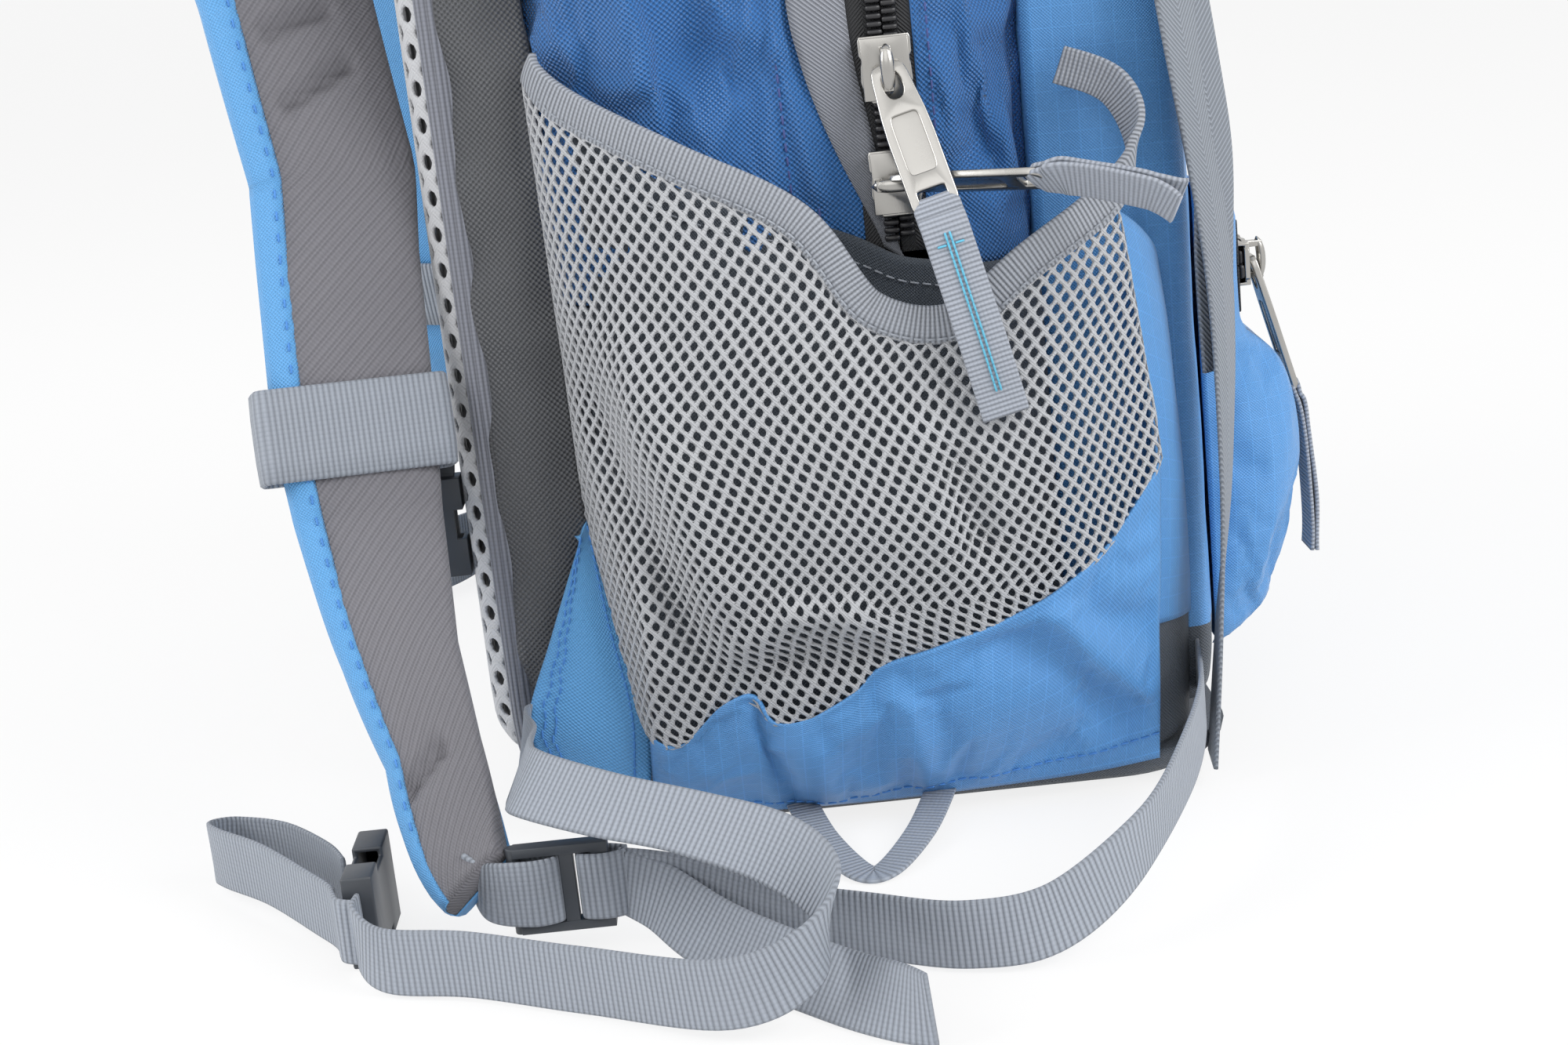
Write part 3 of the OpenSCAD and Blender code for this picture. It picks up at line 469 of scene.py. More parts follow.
@dataclass(frozen=True)
class CastMetal(Finish):
    """Bright cast metal, a little worn."""

    def dress(self, tree: ShaderTree) -> None:
        """Fills in fine scratches and tone."""
        base = linear(self.colour)
        tone = tree.noise(160.0, 3.0, (1, 1, 0.3))
        tree.set(Base_Color=tree.mix(tone, tuple(c * 0.86 for c in base), base), Metallic=1.0,
                 Roughness=tree.scaled(tone, 0.16, self.roughness))
        tree.bump(tree.noise(1400.0, 1.0, (1, 1, 0.2)), depth=0.00002, strength=0.4)


BLUE = Cloth("blue_oxford", (56, 124, 198), roughness=0.36, slot="blue_cloth",
             pitch=0.0016, depth=0.0006, gap=0.34, fade=0.2, sheen=0.14)
RIPSTOP = Cloth("blue_ripstop", (88, 154, 218), roughness=0.42, slot="blue_cloth",
                pitch=0.0010, depth=0.0002, gap=0.72, fade=0.14, sheen=0.12,
                ripstop=0.0062)
EDGE_BLUE = Cloth("blue_strap_edge", (98, 170, 230), roughness=0.5, slot="blue_cloth",
                  pitch=0.0012, depth=0.0003, gap=0.7, fade=0.1, sheen=0.12)
CHARCOAL = Cloth("charcoal_knit", (92, 94, 98), roughness=0.42, slot="charcoal_cloth",
                 pitch=0.0018, depth=0.0006, gap=0.36, fade=0.16, sheen=0.15)
CHARCOAL_PLAIN = Cloth("charcoal_plain", (80, 88, 98), roughness=0.6, slot="charcoal_cloth",
                       pitch=0.0011, depth=0.0003, gap=0.6, fade=0.14,
                       sheen=0.12)
STRAP_KNIT = Cloth("strap_knit", (126, 125, 131), roughness=0.85, slot="spacer_mesh",
                   weave=Weave.KNIT, pitch=0.0016, depth=0.0004, gap=0.62, fade=0.16, sheen=0.2)
BACK_TAPE = Cloth("back_tape", (128, 131, 141), roughness=0.7, slot="grey_webbing",
                  weave=Weave.CORD, pitch=0.0016, depth=0.0005, gap=0.5, fade=0.1, sheen=0.12)
SPACER = Cloth("spacer_knit", (196, 197, 200), roughness=0.85, slot="spacer_mesh", weave=Weave.KNIT,
               pitch=0.0011, depth=0.0002, gap=0.8, fade=0.08, sheen=0.15)
# the knit under the spacer face; its dark colour is painted shade for the depth of the holes
CORE_SHADE_KNIT = Cloth("inner_knit", (104, 105, 107), roughness=0.9, slot="spacer_mesh",
                   weave=Weave.KNIT, pitch=0.0014, depth=0.0003, gap=0.6, fade=0.14, sheen=0.0)
NET = Cloth("pocket_net", (188, 190, 194), roughness=0.75, slot="pocket_mesh", weave=Weave.KNIT,
            pitch=0.0008, depth=0.0002, gap=0.66, fade=0.08, sheen=0.15)
WEBBING = Cloth("harness_webbing", (160, 167, 178), roughness=0.65, slot="grey_webbing",
                weave=Weave.RIB, pitch=0.0017, depth=0.0005, gap=0.58, fade=0.08, sheen=0.1,
                edge=0.0091)
PULL_WEBBING = Cloth("pull_webbing", (164, 170, 181), roughness=0.65, slot="grey_webbing",
                     weave=Weave.RIB, pitch=0.0014, depth=0.0005, gap=0.66, fade=0.06, sheen=0.1)
DARK_WEBBING = Cloth("slate_webbing", (104, 112, 124), roughness=0.65, slot="grey_webbing",
                     weave=Weave.RIB, pitch=0.0019, depth=0.0005, gap=0.55, fade=0.1, sheen=0.1)
TWILL_WEBBING = Cloth("twill_webbing", (146, 153, 163), roughness=0.65, slot="grey_webbing",
                      weave=Weave.TWILL, pitch=0.0018, depth=0.0004, gap=0.58, fade=0.08, sheen=0.1,
                      edge=0.0088)
BINDING = Cloth("ribbed_binding", (164, 169, 178), roughness=0.7, slot="grey_webbing",
                weave=Weave.RIB, pitch=0.0014, depth=0.0006, gap=0.42, fade=0.08, sheen=0.12)
GROSGRAIN = Cloth("grosgrain", (154, 158, 168), roughness=0.65, slot="grey_webbing",
                  weave=Weave.TWILL, pitch=0.0015, depth=0.0004, gap=0.5, fade=0.1, sheen=0.1)
ZIP_TAPE = Cloth("woven_zip_tape", (40, 41, 44), roughness=0.7, slot="zip_tape", weave=Weave.TWILL,
                 pitch=0.0012, depth=0.0003, gap=0.6, fade=0.1, sheen=0.1)
COIL = Moulded("zip_coil", (34, 34, 37), roughness=0.38, slot="zip_tape")
PLASTIC = Moulded("hardware_plastic", (62, 66, 72), roughness=0.45, slot="black_plastic")
FOAM = Moulded("closed_foam", (218, 217, 210), roughness=0.9, slot="foam", grain=300.0,
               depth=0.0004)
SHEET_PLASTIC = Moulded("stiffener_plastic", (228, 226, 216), roughness=0.5)
METAL = CastMetal("pull_metal", (176, 174, 170), roughness=0.2, slot="metal")
BLUE_THREAD = Moulded("blue_thread", (74, 134, 204), roughness=0.7)
PLUM_THREAD = Moulded("plum_thread", (72, 84, 140), roughness=0.8)
GREY_THREAD = Moulded("grey_thread", (150, 155, 163), roughness=0.7)
AQUA_THREAD = Moulded("aqua_thread", (96, 178, 206), roughness=0.7)


# Meshes


def new_object(name: str, verts: Points, faces: Sequence, uvs: Points | None,
               finish: Finish) -> bpy.types.Object:
    """Makes an object from points in mm.

    Args:
        name: the piece's name.
        verts: its points.
        faces: the corner numbers of each face.
        uvs: the place on the cloth of each face corner in metres, or None.
        finish: its finish.

    Returns:
        The object, linked to the scene, with its faces pointing outwards.
    """
    mesh = bpy.data.meshes.new(name)
    mesh.from_pydata((verts * MM).tolist(), [], [list(map(int, f)) for f in faces])
    if uvs is not None:
        layer = mesh.uv_layers.new(name="cloth")
        layer.data.foreach_set("uv", np.asarray(uvs, dtype=np.float32).ravel())
    mesh.materials.append(finish.material())
    return link_mesh(name, mesh)


def linked(name: str, data: bpy.types.ID) -> bpy.types.Object:
    """Returns a new object in the scene."""
    obj = bpy.data.objects.new(name, data)
    bpy.context.scene.collection.objects.link(obj)
    return obj


def piece_name(name: str) -> str:
    """Returns a piece's name, set apart from the node of that name."""
    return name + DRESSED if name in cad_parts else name


@contextmanager
def edited(mesh: bpy.types.Mesh) -> Iterator[bmesh.types.BMesh]:
    """Lends a mesh for editing and stores it again."""
    bm = bmesh.new()
    bm.from_mesh(mesh)
    yield bm
    bm.to_mesh(mesh)
    bm.free()


def link_mesh(name: str, mesh: bpy.types.Mesh, recalc: bool = True) -> bpy.types.Object:
    """Returns a linked, smooth object for a mesh."""
    if recalc:
        with edited(mesh) as bm:
            bmesh.ops.recalc_face_normals(bm, faces=bm.faces)
    mesh.shade_smooth()
    return linked(piece_name(name), mesh)


def settle(obj: bpy.types.Object, body: str = "pack",
           nodes: Sequence[str] | None = None) -> bpy.types.Object:
    """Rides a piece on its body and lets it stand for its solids.

    Args:
        obj: the piece.
        body: the body that carries it.
        nodes: the solids that it stands for, or None for the solid of its own name.

    Returns:
        The piece.
    """
    if nodes is None:
        own = obj.name.removesuffix(DRESSED)
        nodes = [own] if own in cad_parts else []
    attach(obj, body)
    if nodes:
        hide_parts(*nodes)
    log.info("%s rides on %s, %d faces", obj.name, body, len(obj.data.polygons))
    return obj


def baked(obj: bpy.types.Object) -> bpy.types.Object:
    """Turns an object's modifiers into a plain mesh and returns the object."""
    bpy.context.view_layer.update()
    done = obj.evaluated_get(bpy.context.evaluated_depsgraph_get())
    mesh = bpy.data.meshes.new_from_object(done)
    obj.modifiers.clear()
    obj.data = mesh
    return obj


def lengths(grid: Points, axis: int) -> Points:
    """Returns the mean distance of each row or column from the first, in metres."""
    steps = np.linalg.norm(np.diff(grid, axis=axis), axis=2).mean(axis=1 - axis)
    return np.concatenate([[0], np.cumsum(steps)]) * MM


def quads(n: int, m: int, start: int = 0, wrap: bool = False) -> Points:
    """Returns the faces of a grid of n rows and m columns."""
    cols = m if wrap else m - 1
    i, j = np.meshgrid(np.arange(n - 1), np.arange(cols), indexing="ij")
    i, j = i.ravel(), j.ravel()
    k = (j + 1) % m
    return np.stack([i * m + j, i * m + k, (i + 1) * m + k, (i + 1) * m + j], axis=1) + start


def settled(grid: Points, spare: float, press: float, most: float,
            calm: Points | float = 1.0) -> Points:
    """Lets a sheet settle as real cloth, held at its edges.

    Args:
        grid: points in mm.
        spare: share of spare cloth, which falls into folds.
        press: pressure of what is behind it.
        most: how far a point may move in mm.
        calm: how freely each point moves, from 0 to 1.

    Returns:
        The settled grid.
    """
    n, m = grid.shape[:2]
    faces = quads(n, m)
    if float(np.sum(grid_normals(grid) * outward(grid))) < 0:
        faces = faces[:, ::-1]
    mesh = bpy.data.meshes.new("settling")
    mesh.from_pydata((grid.reshape(-1, 3) * MM).tolist(), [], faces.tolist())
    obj = linked("settling", mesh)
    held = np.ones((n, m), bool)
    held[2:-2, 2:-2] = False
    obj.vertex_groups.new(name="held").add(np.flatnonzero(held).tolist(), 1.0, "ADD")
    mod = obj.modifiers.new("settling", "CLOTH")
    cloth = mod.settings
    cloth.quality, cloth.mass, cloth.bending_stiffness = 5, 0.3, 0.5
    cloth.tension_stiffness = cloth.compression_stiffness = 15.0
    cloth.vertex_group_mass, cloth.shrink_min = "held", -spare
    cloth.use_pressure, cloth.uniform_pressure_force = True, press
    cloth.effector_weights.gravity = 0.0
    mod.collision_settings.use_collision = False
    mod.point_cache.frame_start, mod.point_cache.frame_end = 1, SETTLING_STEPS
    for step in range(1, SETTLING_STEPS + 1):
        bpy.context.scene.frame_set(step)
    places = np.empty(n * m * 3, dtype=np.float32)
    obj.evaluated_get(bpy.context.evaluated_depsgraph_get()).data.vertices.foreach_get("co", places)
    bpy.data.objects.remove(obj)
    bpy.context.scene.frame_set(1)
    move = places.reshape(n, m, 3) * PER_METRE - grid
    far = np.linalg.norm(move, axis=-1, keepdims=True)
    move *= (np.minimum(1.0, most / np.maximum(far, 1e-6))
             * (eased(n, 5)[:, None] * eased(m, 5)[None, :] * calm)[..., None])
    return grid + move


def corner_uvs(u: Points, v: Points, i: Points, j: Points) -> Points:
    """Returns the cloth places of the four corners of the faces at rows i and columns j."""
    corners = ((0, 0), (1, 0), (1, 1), (0, 1))
    return np.stack([np.stack([u[j + a], v[i + b]], 1) for a, b in corners], axis=1)


def quad_uvs(u: Points, v: Points) -> Points:
    """Returns the cloth places of the corners of a grid's faces."""
    n, m = len(v), len(u)
    i, j = np.meshgrid(np.arange(n - 1), np.arange(m - 1), indexing="ij")
    i, j = i.ravel(), j.ravel()
    return corner_uvs(u, v, i, j)


def cloth_sheet(name: str, grid: Points, thick: float, finish: Finish) -> bpy.types.Object:
    """Closed sheet of cloth on a grid of points.

    Args:
        name: the piece's name.
        grid: outer points, rows by columns.
        thick: thickness in mm.
        finish: its finish.

    Returns:
        The object.
    """
    n, m = grid.shape[:2]
    inner = grid - outward(grid) * thick
    verts = np.concatenate([grid.reshape(-1, 3), inner.reshape(-1, 3)])
    u, v = lengths(grid, 1), lengths(grid, 0)
    face_uv = quad_uvs(u, v)
    rim = np.concatenate([np.arange(m), np.arange(1, n) * m + m - 1,
                          (n - 1) * m + np.arange(m - 2, -1, -1), np.arange(n - 2, 0, -1) * m])
    nxt = np.roll(rim, -1)
    edge = np.stack([rim, nxt, nxt + n * m, rim + n * m], axis=1)
    flat_uv = np.stack([np.tile(u, n), np.repeat(v, m)], axis=1)
    edge_uv = np.stack([flat_uv[rim], flat_uv[nxt], flat_uv[nxt], flat_uv[rim]], axis=1)
    faces = np.concatenate([quads(n, m), quads(n, m, n * m), edge])
    return new_object(name, verts, faces, np.concatenate([face_uv, face_uv, edge_uv]), finish)


def loft_form(name: str, rings: Points, finish: Finish) -> bpy.types.Object:
    """Closed form from rings of equal point count, rows along its length."""
    n, m = rings.shape[:2]
    closed = np.concatenate([rings, rings[:, :1]], axis=1)
    u, v = lengths(closed, 1), lengths(rings, 0)
    faces = [list(f) for f in quads(n, m, 0, True)]
    uvs = list(quad_uvs(u, v).reshape(-1, 2))
    for row in (list(range(m)), list(range((n - 1) * m, n * m))):
        faces.append(row)
        uvs += [(u[k], 0.0) for k in range(m)]
    return new_object(name, rings.reshape(-1, 3), faces, arr(uvs), finish)


def band(line: Points, side: Points, width: float | Points, thick: float,
         belly: float = 0.0) -> tuple[Points, list, list]:
    """Rounded band swept along a line.

    Args:
        line: its middle line in mm.
        side: its width direction at each point.
        width: its width, one number or one for each point.
        thick: its thickness.
        belly: how far its middle stands proud of its edges.

    Returns:
        Points, faces and cloth places of the band.
    """
    _, s, u = side_frame(line, side)
    w = np.broadcast_to(np.asarray(width, dtype=float), (len(line),))[:, None]
    section = [(-0.5, 0.0), (-0.485, 0.42), (-0.44, 0.5), (-0.22, 0.5), (0.0, 0.5), (0.22, 0.5),
               (0.44, 0.5), (0.485, 0.42), (0.5, 0.0), (0.485, -0.42), (0.44, -0.5), (0.22, -0.5),
               (0.0, -0.5), (-0.22, -0.5), (-0.44, -0.5), (-0.485, -0.42)]
    rings = np.stack([line + s * w * a + u * (thick * b + belly * (1 - 4 * a * a))
                      for a, b in section], axis=1)
    n, m = rings.shape[:2]
    far = lengths(line[:, None, :], 0)
    mean_w = float(np.mean(w)) * MM
    across = arr([a for a, _ in section] + [section[0][0]]) * mean_w
    faces = ([list(f) for f in quads(n, m, 0, True)]
             + [list(range(m)), list(range((n - 1) * m, n * m))])
    uvs = (list(quad_uvs(across, far).reshape(-1, 2)) + [(c, 0) for c in across[:m]]
           + [(c, far[-1]) for c in across[:m]])
    return rings.reshape(-1, 3), faces, uvs


def band_piece(name: str, routes: Sequence[tuple], finish: Finish) -> bpy.types.Object:
    """One object made of several bands, each given as the arguments of band."""
    verts, faces, uvs, base = [], [], [], 0
    for route in routes:
        v, f, c = band(*route)
        verts.append(v)
        faces += [[k + base for k in face] for face in f]
        uvs += c
        base += len(v)
    return new_object(name, np.concatenate(verts), faces, arr(uvs), finish)


def route_line(route: Sequence, n: int = 10) -> tuple[Points, Points]:
    """Returns the line and width directions of a route of point and direction pairs."""
    return spline([r[0] for r in route], n), spline([r[1] for r in route], n)


def ring_form(name: str, line: Points, out: Points, axis: Points, section: Sequence,
              finish: Finish) -> bpy.types.Object:
    """Closed ring with one section all round.

    Args:
        name: the piece's name.
        line: points of the closed middle line.
        out: outward direction at each point.
        axis: direction across the ring, one or one for each point.
        section: pairs of distance out and distance along the axis.
        finish: its finish.

    Returns:
        The object.
    """
    n, m = len(line), len(section)
    rings = np.stack([line + out * a + axis * b for a, b in section], axis=1)
    i, j = (k.ravel() for k in np.meshgrid(np.arange(n), np.arange(m), indexing="ij"))
    a, b = (i + 1) % n, (j + 1) % m
    faces = np.stack([i * m + j, i * m + b, a * m + b, a * m + j], axis=1)
    u = lengths(np.concatenate([rings, rings[:, :1]], axis=1), 1)
    v = lengths(np.concatenate([rings, rings[:1]], axis=0), 0)
    return new_object(name, rings.reshape(-1, 3), faces, corner_uvs(u, v, i, j), finish)


def box_uv(obj: bpy.types.Object) -> bpy.types.Object:
    """Maps the cloth straight onto each face from the nearest axis and returns the object."""
    mesh = obj.data
    layer = mesh.uv_layers.get("cloth") or mesh.uv_layers.new(name="cloth")
    pairs = {0: (1, 2), 1: (0, 2), 2: (0, 1)}
    for face in mesh.polygons:
        a, b = pairs[int(np.argmax(np.abs(face.normal)))]
        for k in face.loop_indices:
            place = mesh.vertices[mesh.loops[k].vertex_index].co
            layer.data[k].uv = (place[a], place[b])
    return obj


def merged(name: str, parts: Sequence[bpy.types.Object]) -> bpy.types.Object:
    """Joins objects of one finish into one and returns it."""
    bm = bmesh.new()
    for part in parts:
        bm.from_mesh(part.data)
    mesh = bpy.data.meshes.new(name)
    bm.to_mesh(mesh)
    bm.free()
    mesh.materials.append(parts[0].data.materials[0])
    for part in parts:
        bpy.data.objects.remove(part)
    return link_mesh(name, mesh, False)


def islands(bm: bmesh.types.BMesh) -> list[list]:
    """Returns the loose parts of a mesh as lists of points."""
    left, parts = set(bm.verts), []
    while left:
        heap, part = [left.pop()], []
        while heap:
            v = heap.pop()
            part.append(v)
            for edge in v.link_edges:
                w = edge.other_vert(v)
                if w in left:
                    left.discard(w)
                    heap.append(w)
        parts.append(part)
    return parts


def rounded_solid(name: str, node: str, finish: Finish, width: float = 0.7,
                  lowest: bool = False) -> bpy.types.Object:
    """Copy of a hard solid with its edges rounded.

    Args:
        name: the piece's name.
        node: the solid.
        finish: its finish.
        width: width of the rounding in mm.
        lowest: keep only the loose part nearest the floor.

    Returns:
        The object.
    """
    bm = bmesh.new()
    bm.from_mesh(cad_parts[node].data)
    bmesh.ops.remove_doubles(bm, verts=bm.verts, dist=1e-6)
    if lowest:
        parts = sorted(islands(bm), key=lambda part: min(v.co.z for v in part))
        bmesh.ops.delete(bm, geom=[v for part in parts[1:] for v in part], context="VERTS")
    bmesh.ops.dissolve_limit(bm, angle_limit=math.radians(2), verts=bm.verts, edges=bm.edges)
    mesh = bpy.data.meshes.new(name)
    bm.to_mesh(mesh)
    bm.free()
    mesh.materials.clear()
    mesh.materials.append(finish.material())
    obj = link_mesh(name, mesh)
    rounding = obj.modifiers.new("rounding", "BEVEL")
    rounding.width, rounding.segments = width * MM, 2
    rounding.limit_method, rounding.angle_limit = "ANGLE", math.radians(30)
    return baked(obj)


# Repeats by geometry nodes


class NodeGroup:
    """A geometry tree with named inputs, applied to a mesh and then removed."""

    def __init__(self, name: str, inputs: dict[str, str]) -> None:
        """Starts a tree whose extra inputs have these socket types."""
        self.tree = bpy.data.node_groups.new(name, "GeometryNodeTree")
        face = self.tree.interface
        face.new_socket("Geometry", in_out="INPUT", socket_type="NodeSocketGeometry")
        self.keys = {k: face.new_socket(k, in_out="INPUT", socket_type=t).identifier
                     for k, t in inputs.items()}
        face.new_socket("Geometry", in_out="OUTPUT", socket_type="NodeSocketGeometry")
        self.start = self.tree.nodes.new("NodeGroupInput")
        self.end = self.tree.nodes.new("NodeGroupOutput")

    def add(self, kind: str, links: dict | None = None, **props: object) -> bpy.types.Node:
        """Returns a new node with its properties set and its inputs linked or set."""
        node = self.tree.nodes.new(kind)
        for key, value in props.items():
            setattr(node, key, value)
        for key, value in (links or {}).items():
            if isinstance(value, bpy.types.NodeSocket):
                self.tree.links.new(value, node.inputs[key])
            else:
                node.inputs[key].default_value = value
        return node

    def close(self, socket: bpy.types.NodeSocket) -> None:
        """Ends the tree: instances made real, the finish set."""
        real = self.add("GeometryNodeRealizeInstances", {0: socket})
        paint = self.add("GeometryNodeSetMaterial",
                         {0: real.outputs[0], "Material": self.start.outputs["Finish"]})
        self.tree.links.new(paint.outputs[0], self.end.inputs[0])

    def apply(self, obj: bpy.types.Object, **values: object) -> bpy.types.Object:
        """Runs the tree on an object and returns it as a plain mesh."""
        mod = obj.modifiers.new(self.tree.name, "NODES")
        mod.node_group = self.tree
        for key, value in values.items():
            mod[self.keys[key]] = value
        obj = baked(obj)
        obj.data.shade_smooth()
        return obj


def scatter_tree() -> NodeGroup:
    """Tree that puts a shape on each point, turned by the attributes along and out."""
    group = NodeGroup("set_out_repeats", {"Shape": "NodeSocketObject", "Size": "NodeSocketFloat",
                                          "Finish": "NodeSocketMaterial"})
    info = group.add("GeometryNodeObjectInfo", {"Object": group.start.outputs["Shape"]})
    out = group.add("GeometryNodeInputNamedAttribute", {"Name": "out"}, data_type="FLOAT_VECTOR")
    way = group.add("GeometryNodeInputNamedAttribute", {"Name": "along"}, data_type="FLOAT_VECTOR")
    up = group.add("FunctionNodeAlignRotationToVector", {"Vector": out.outputs[0]}, axis="Z")
    turn = group.add("FunctionNodeAlignRotationToVector",
                     {"Rotation": up.outputs[0], "Vector": way.outputs[0]}, axis="Y",
                     pivot_axis="Z")
    put = group.add("GeometryNodeInstanceOnPoints",
                    {"Points": group.start.outputs[0], "Instance": info.outputs["Geometry"],
                     "Rotation": turn.outputs[0], "Scale": group.start.outputs["Size"]})
    group.close(put.outputs[0])
    return group


def lattice_tree() -> NodeGroup:
    """Tree that opens a hole in each face of a mesh and gives the net its thickness."""
    group = NodeGroup("open_net", {"Hole": "NodeSocketFloat", "Thickness": "NodeSocketFloat",
                                   "Rounding": "NodeSocketInt", "Corner": "NodeSocketFloat",
                                   "Finish": "NodeSocketMaterial"})
    ring = group.add("GeometryNodeExtrudeMesh",
                     {"Mesh": group.start.outputs[0], "Offset Scale": 0.0, "Individual": True})
    small = group.add("GeometryNodeScaleElements",
                      {"Geometry": ring.outputs["Mesh"], "Selection": ring.outputs["Top"],
                       "Scale": group.start.outputs["Hole"]})
    open_net = group.add("GeometryNodeDeleteGeometry",
                         {"Geometry": small.outputs[0], "Selection": ring.outputs["Top"]},
                         domain="FACE")
    wall = group.add("GeometryNodeExtrudeMesh",
                     {"Mesh": open_net.outputs[0], "Offset Scale": group.start.outputs["Thickness"],
                      "Individual": False})
    back = group.add("GeometryNodeFlipFaces", {"Mesh": open_net.outputs[0]})
    both = group.add("GeometryNodeJoinGeometry")
    for part in (wall.outputs["Mesh"], back.outputs[0]):
        group.tree.links.new(part, both.inputs[0])
    whole = group.add("GeometryNodeMergeByDistance",
                      {"Geometry": both.outputs[0], "Distance": 0.00001})
    soft = group.add("GeometryNodeSubdivisionSurface",
                     {"Mesh": whole.outputs[0], "Level": group.start.outputs["Rounding"],
                      "Vertex Crease": group.start.outputs["Corner"]})
    group.close(soft.outputs[0])
    return group


def diamond_net(name: str, place: Callable[[Points, Points], Points], cols: int, rows: int,
                finish: Finish) -> bpy.types.Object:
    """Mesh of diamonds on a surface, ready for its holes.

    Args:
        name: the piece's name.
        place: gives the points for fractions across and up the surface.
        cols: half diamonds across.
        rows: half diamonds up.
        finish: its finish.

    Returns:
        The object.
    """
    spots = [(i, j) for j in range(rows + 1) for i in range(cols + 1) if (i + j) % 2 == 0]
    index = {spot: k for k, spot in enumerate(spots)}
    faces = []
    for j in range(rows + 1):
        for i in range(cols + 1):
            ring = [index[c] for c in ((i - 1, j), (i, j - 1), (i + 1, j), (i, j + 1))
                    if c in index]
            if (i + j) % 2 and len(ring) > 2:
                faces.append(ring)
    flat = arr(spots)
    return new_object(name, place(flat[:, 0] / cols, flat[:, 1] / rows), faces, None, finish)


def point_cloud(name: str, places: Points, along: Points, out: Points) -> bpy.types.Object:
    """Returns an object of loose points with their directions."""
    mesh = bpy.data.meshes.new(name)
    mesh.from_pydata((places * MM).tolist(), [], [])
    for key, values in (("along", along), ("out", out)):
        data = mesh.attributes.new(key, "FLOAT_VECTOR", "POINT")
        data.data.foreach_set("vector", np.asarray(values, dtype=np.float32).ravel())
    return linked(piece_name(name), mesh)


def capsule(name: str, length: float, radius: float, bend: float = 0.0) -> bpy.types.Object:
    """Short thread or tooth along Y, in mm, as a hidden shape for repeats."""
    rings = []
    for y in (-0.5, -0.42, -0.2, 0.2, 0.42, 0.5):
        r = radius * (0.35 if abs(y) == 0.5 else 1.0)
        lift = bend * (1 - 4 * y * y)
        rings.append([(r * math.cos(a), y * length, lift + r * math.sin(a))
                      for a in np.arange(6) * math.pi / 3])
    obj = loft_form(name, arr(rings), GREY_THREAD)
    bpy.context.scene.collection.objects.unlink(obj)
    return obj


@dataclass
class Stitcher:
    """Collects lines of stitches and sews them, one piece for each body and thread."""

    length: float = 2.7
    pitch: float = 3.8
    radius: float = 0.32
    lines: dict = field(default_factory=dict)

    def line(self, body: str, thread: Finish, points: Points, out: Points,
             pitch: float | None = None) -> None:
        """Adds a line of stitches on a body, facing out."""
        steps = np.linalg.norm(np.diff(points, axis=0), axis=1).sum()
        count = max(2, int(steps / (pitch or self.pitch)))
        both = resample(np.concatenate([points, np.broadcast_to(out, points.shape)], axis=1), count)
        self.lines.setdefault((body, thread), []).append((both[:, :3], tangents(both[:, :3]),
                                                          unit(both[:, 3:])))

    def sew(self, tree: NodeGroup) -> None:
        """Makes the pieces."""
        shape = capsule("thread", length=self.length, radius=self.radius, bend=0.15)
        for (body, thread), rows in self.lines.items():
            places, along, out = (np.concatenate([r[k] for r in rows]) for k in range(3))
            cloud = point_cloud(f"stitches_{thread.name}_{body}", places + out * 0.12, along, out)
            settle(tree.apply(cloud, Shape=shape, Size=1.0, Finish=thread.material()), body)


# The daypack


class Side(Enum):
    """The two sides of the pack."""

    LEFT = "left"
    RIGHT = "right"

    def place(self, points: Points) -> Points:
        """Returns points that were worked out for the left side, on this side."""
        return points if self is Side.LEFT else mirrored(points)


@dataclass(frozen=True)
class BagForm:
    """Upright form of the main compartment, drawn in over the shoulder to a ridge."""

    half_w: float = 146.0
    x_back: float = -62.0
    x_front: float = 85.0
    x_ridge: float = -14.0
    x_zip: float = 43.0
    shoulder: float = 390.0
    top: float = 480.0
    ridge_half: float = 82.0
    corner: float = 30.0
    slot: float = 9.0

    def heights(self, z0: float, z1: float, step: float = 4.0) -> Points:
        """Returns the heights of the rows of a wall, close together over the dome."""
        low = np.linspace(z0, min(z1, self.shoulder),
                          max(4, int((min(z1, self.shoulder) - z0) / step)))
        if z1 <= self.shoulder:
            return low
        dome = (self.shoulder + (self.top - self.shoulder)
                * np.sin(np.radians(np.linspace(2, 82, 26))))
        return np.concatenate([low, dome])

    def angle(self, z: float) -> float:
        """Returns how far the wall leans in at a height, as an angle."""
        if z <= self.shoulder:
            return 0.0
        return math.asin(min(1.0, (z - self.shoulder) / (self.top - self.shoulder)))

    def pull(self, x: float, to: float, z: float) -> float:
        """Returns a measure drawn in towards the ridge at a height."""
        return x + (to - x) * (1 - math.cos(self.angle(z)))

    def half(self, z: float) -> float:
        """Returns half the width at a height."""
        return self.pull(self.half_w, self.ridge_half, z)

    def zip_x(self, z: float) -> float:
        """Returns the place of the zip at a height."""
        return self.pull(self.x_zip, self.x_ridge, z)

    def level(self, x0: float, to_front: bool, z: float, cols: int, whole: bool = False) -> Points:
        """One row of a wall.

        Args:
            x0: where the row starts on the left side.
            to_front: whether it goes round the front or the rear corner.
            z: its height.
            cols: number of points.
            whole: go on to the right side.

        Returns:
            The points of the row.
        """
        x1 = self.pull(self.x_front if to_front else self.x_back, self.x_ridge, z)
        h, s = self.half(z), 1.0 if to_front else -1.0
        q = min(self.corner, abs(x1 - x0) * 0.9)
        a = np.radians(np.linspace(0, 90, 14))
        arc = np.stack([x1 - s * q + s * q * np.sin(a), -h + q - q * np.cos(a), np.full(14, z)],
                       axis=1)
        row = np.concatenate([[[x0, -h, z]], arc])
        if whole:
            row = np.concatenate([row, mirrored(row[::-1])])
        return resample(row, cols)


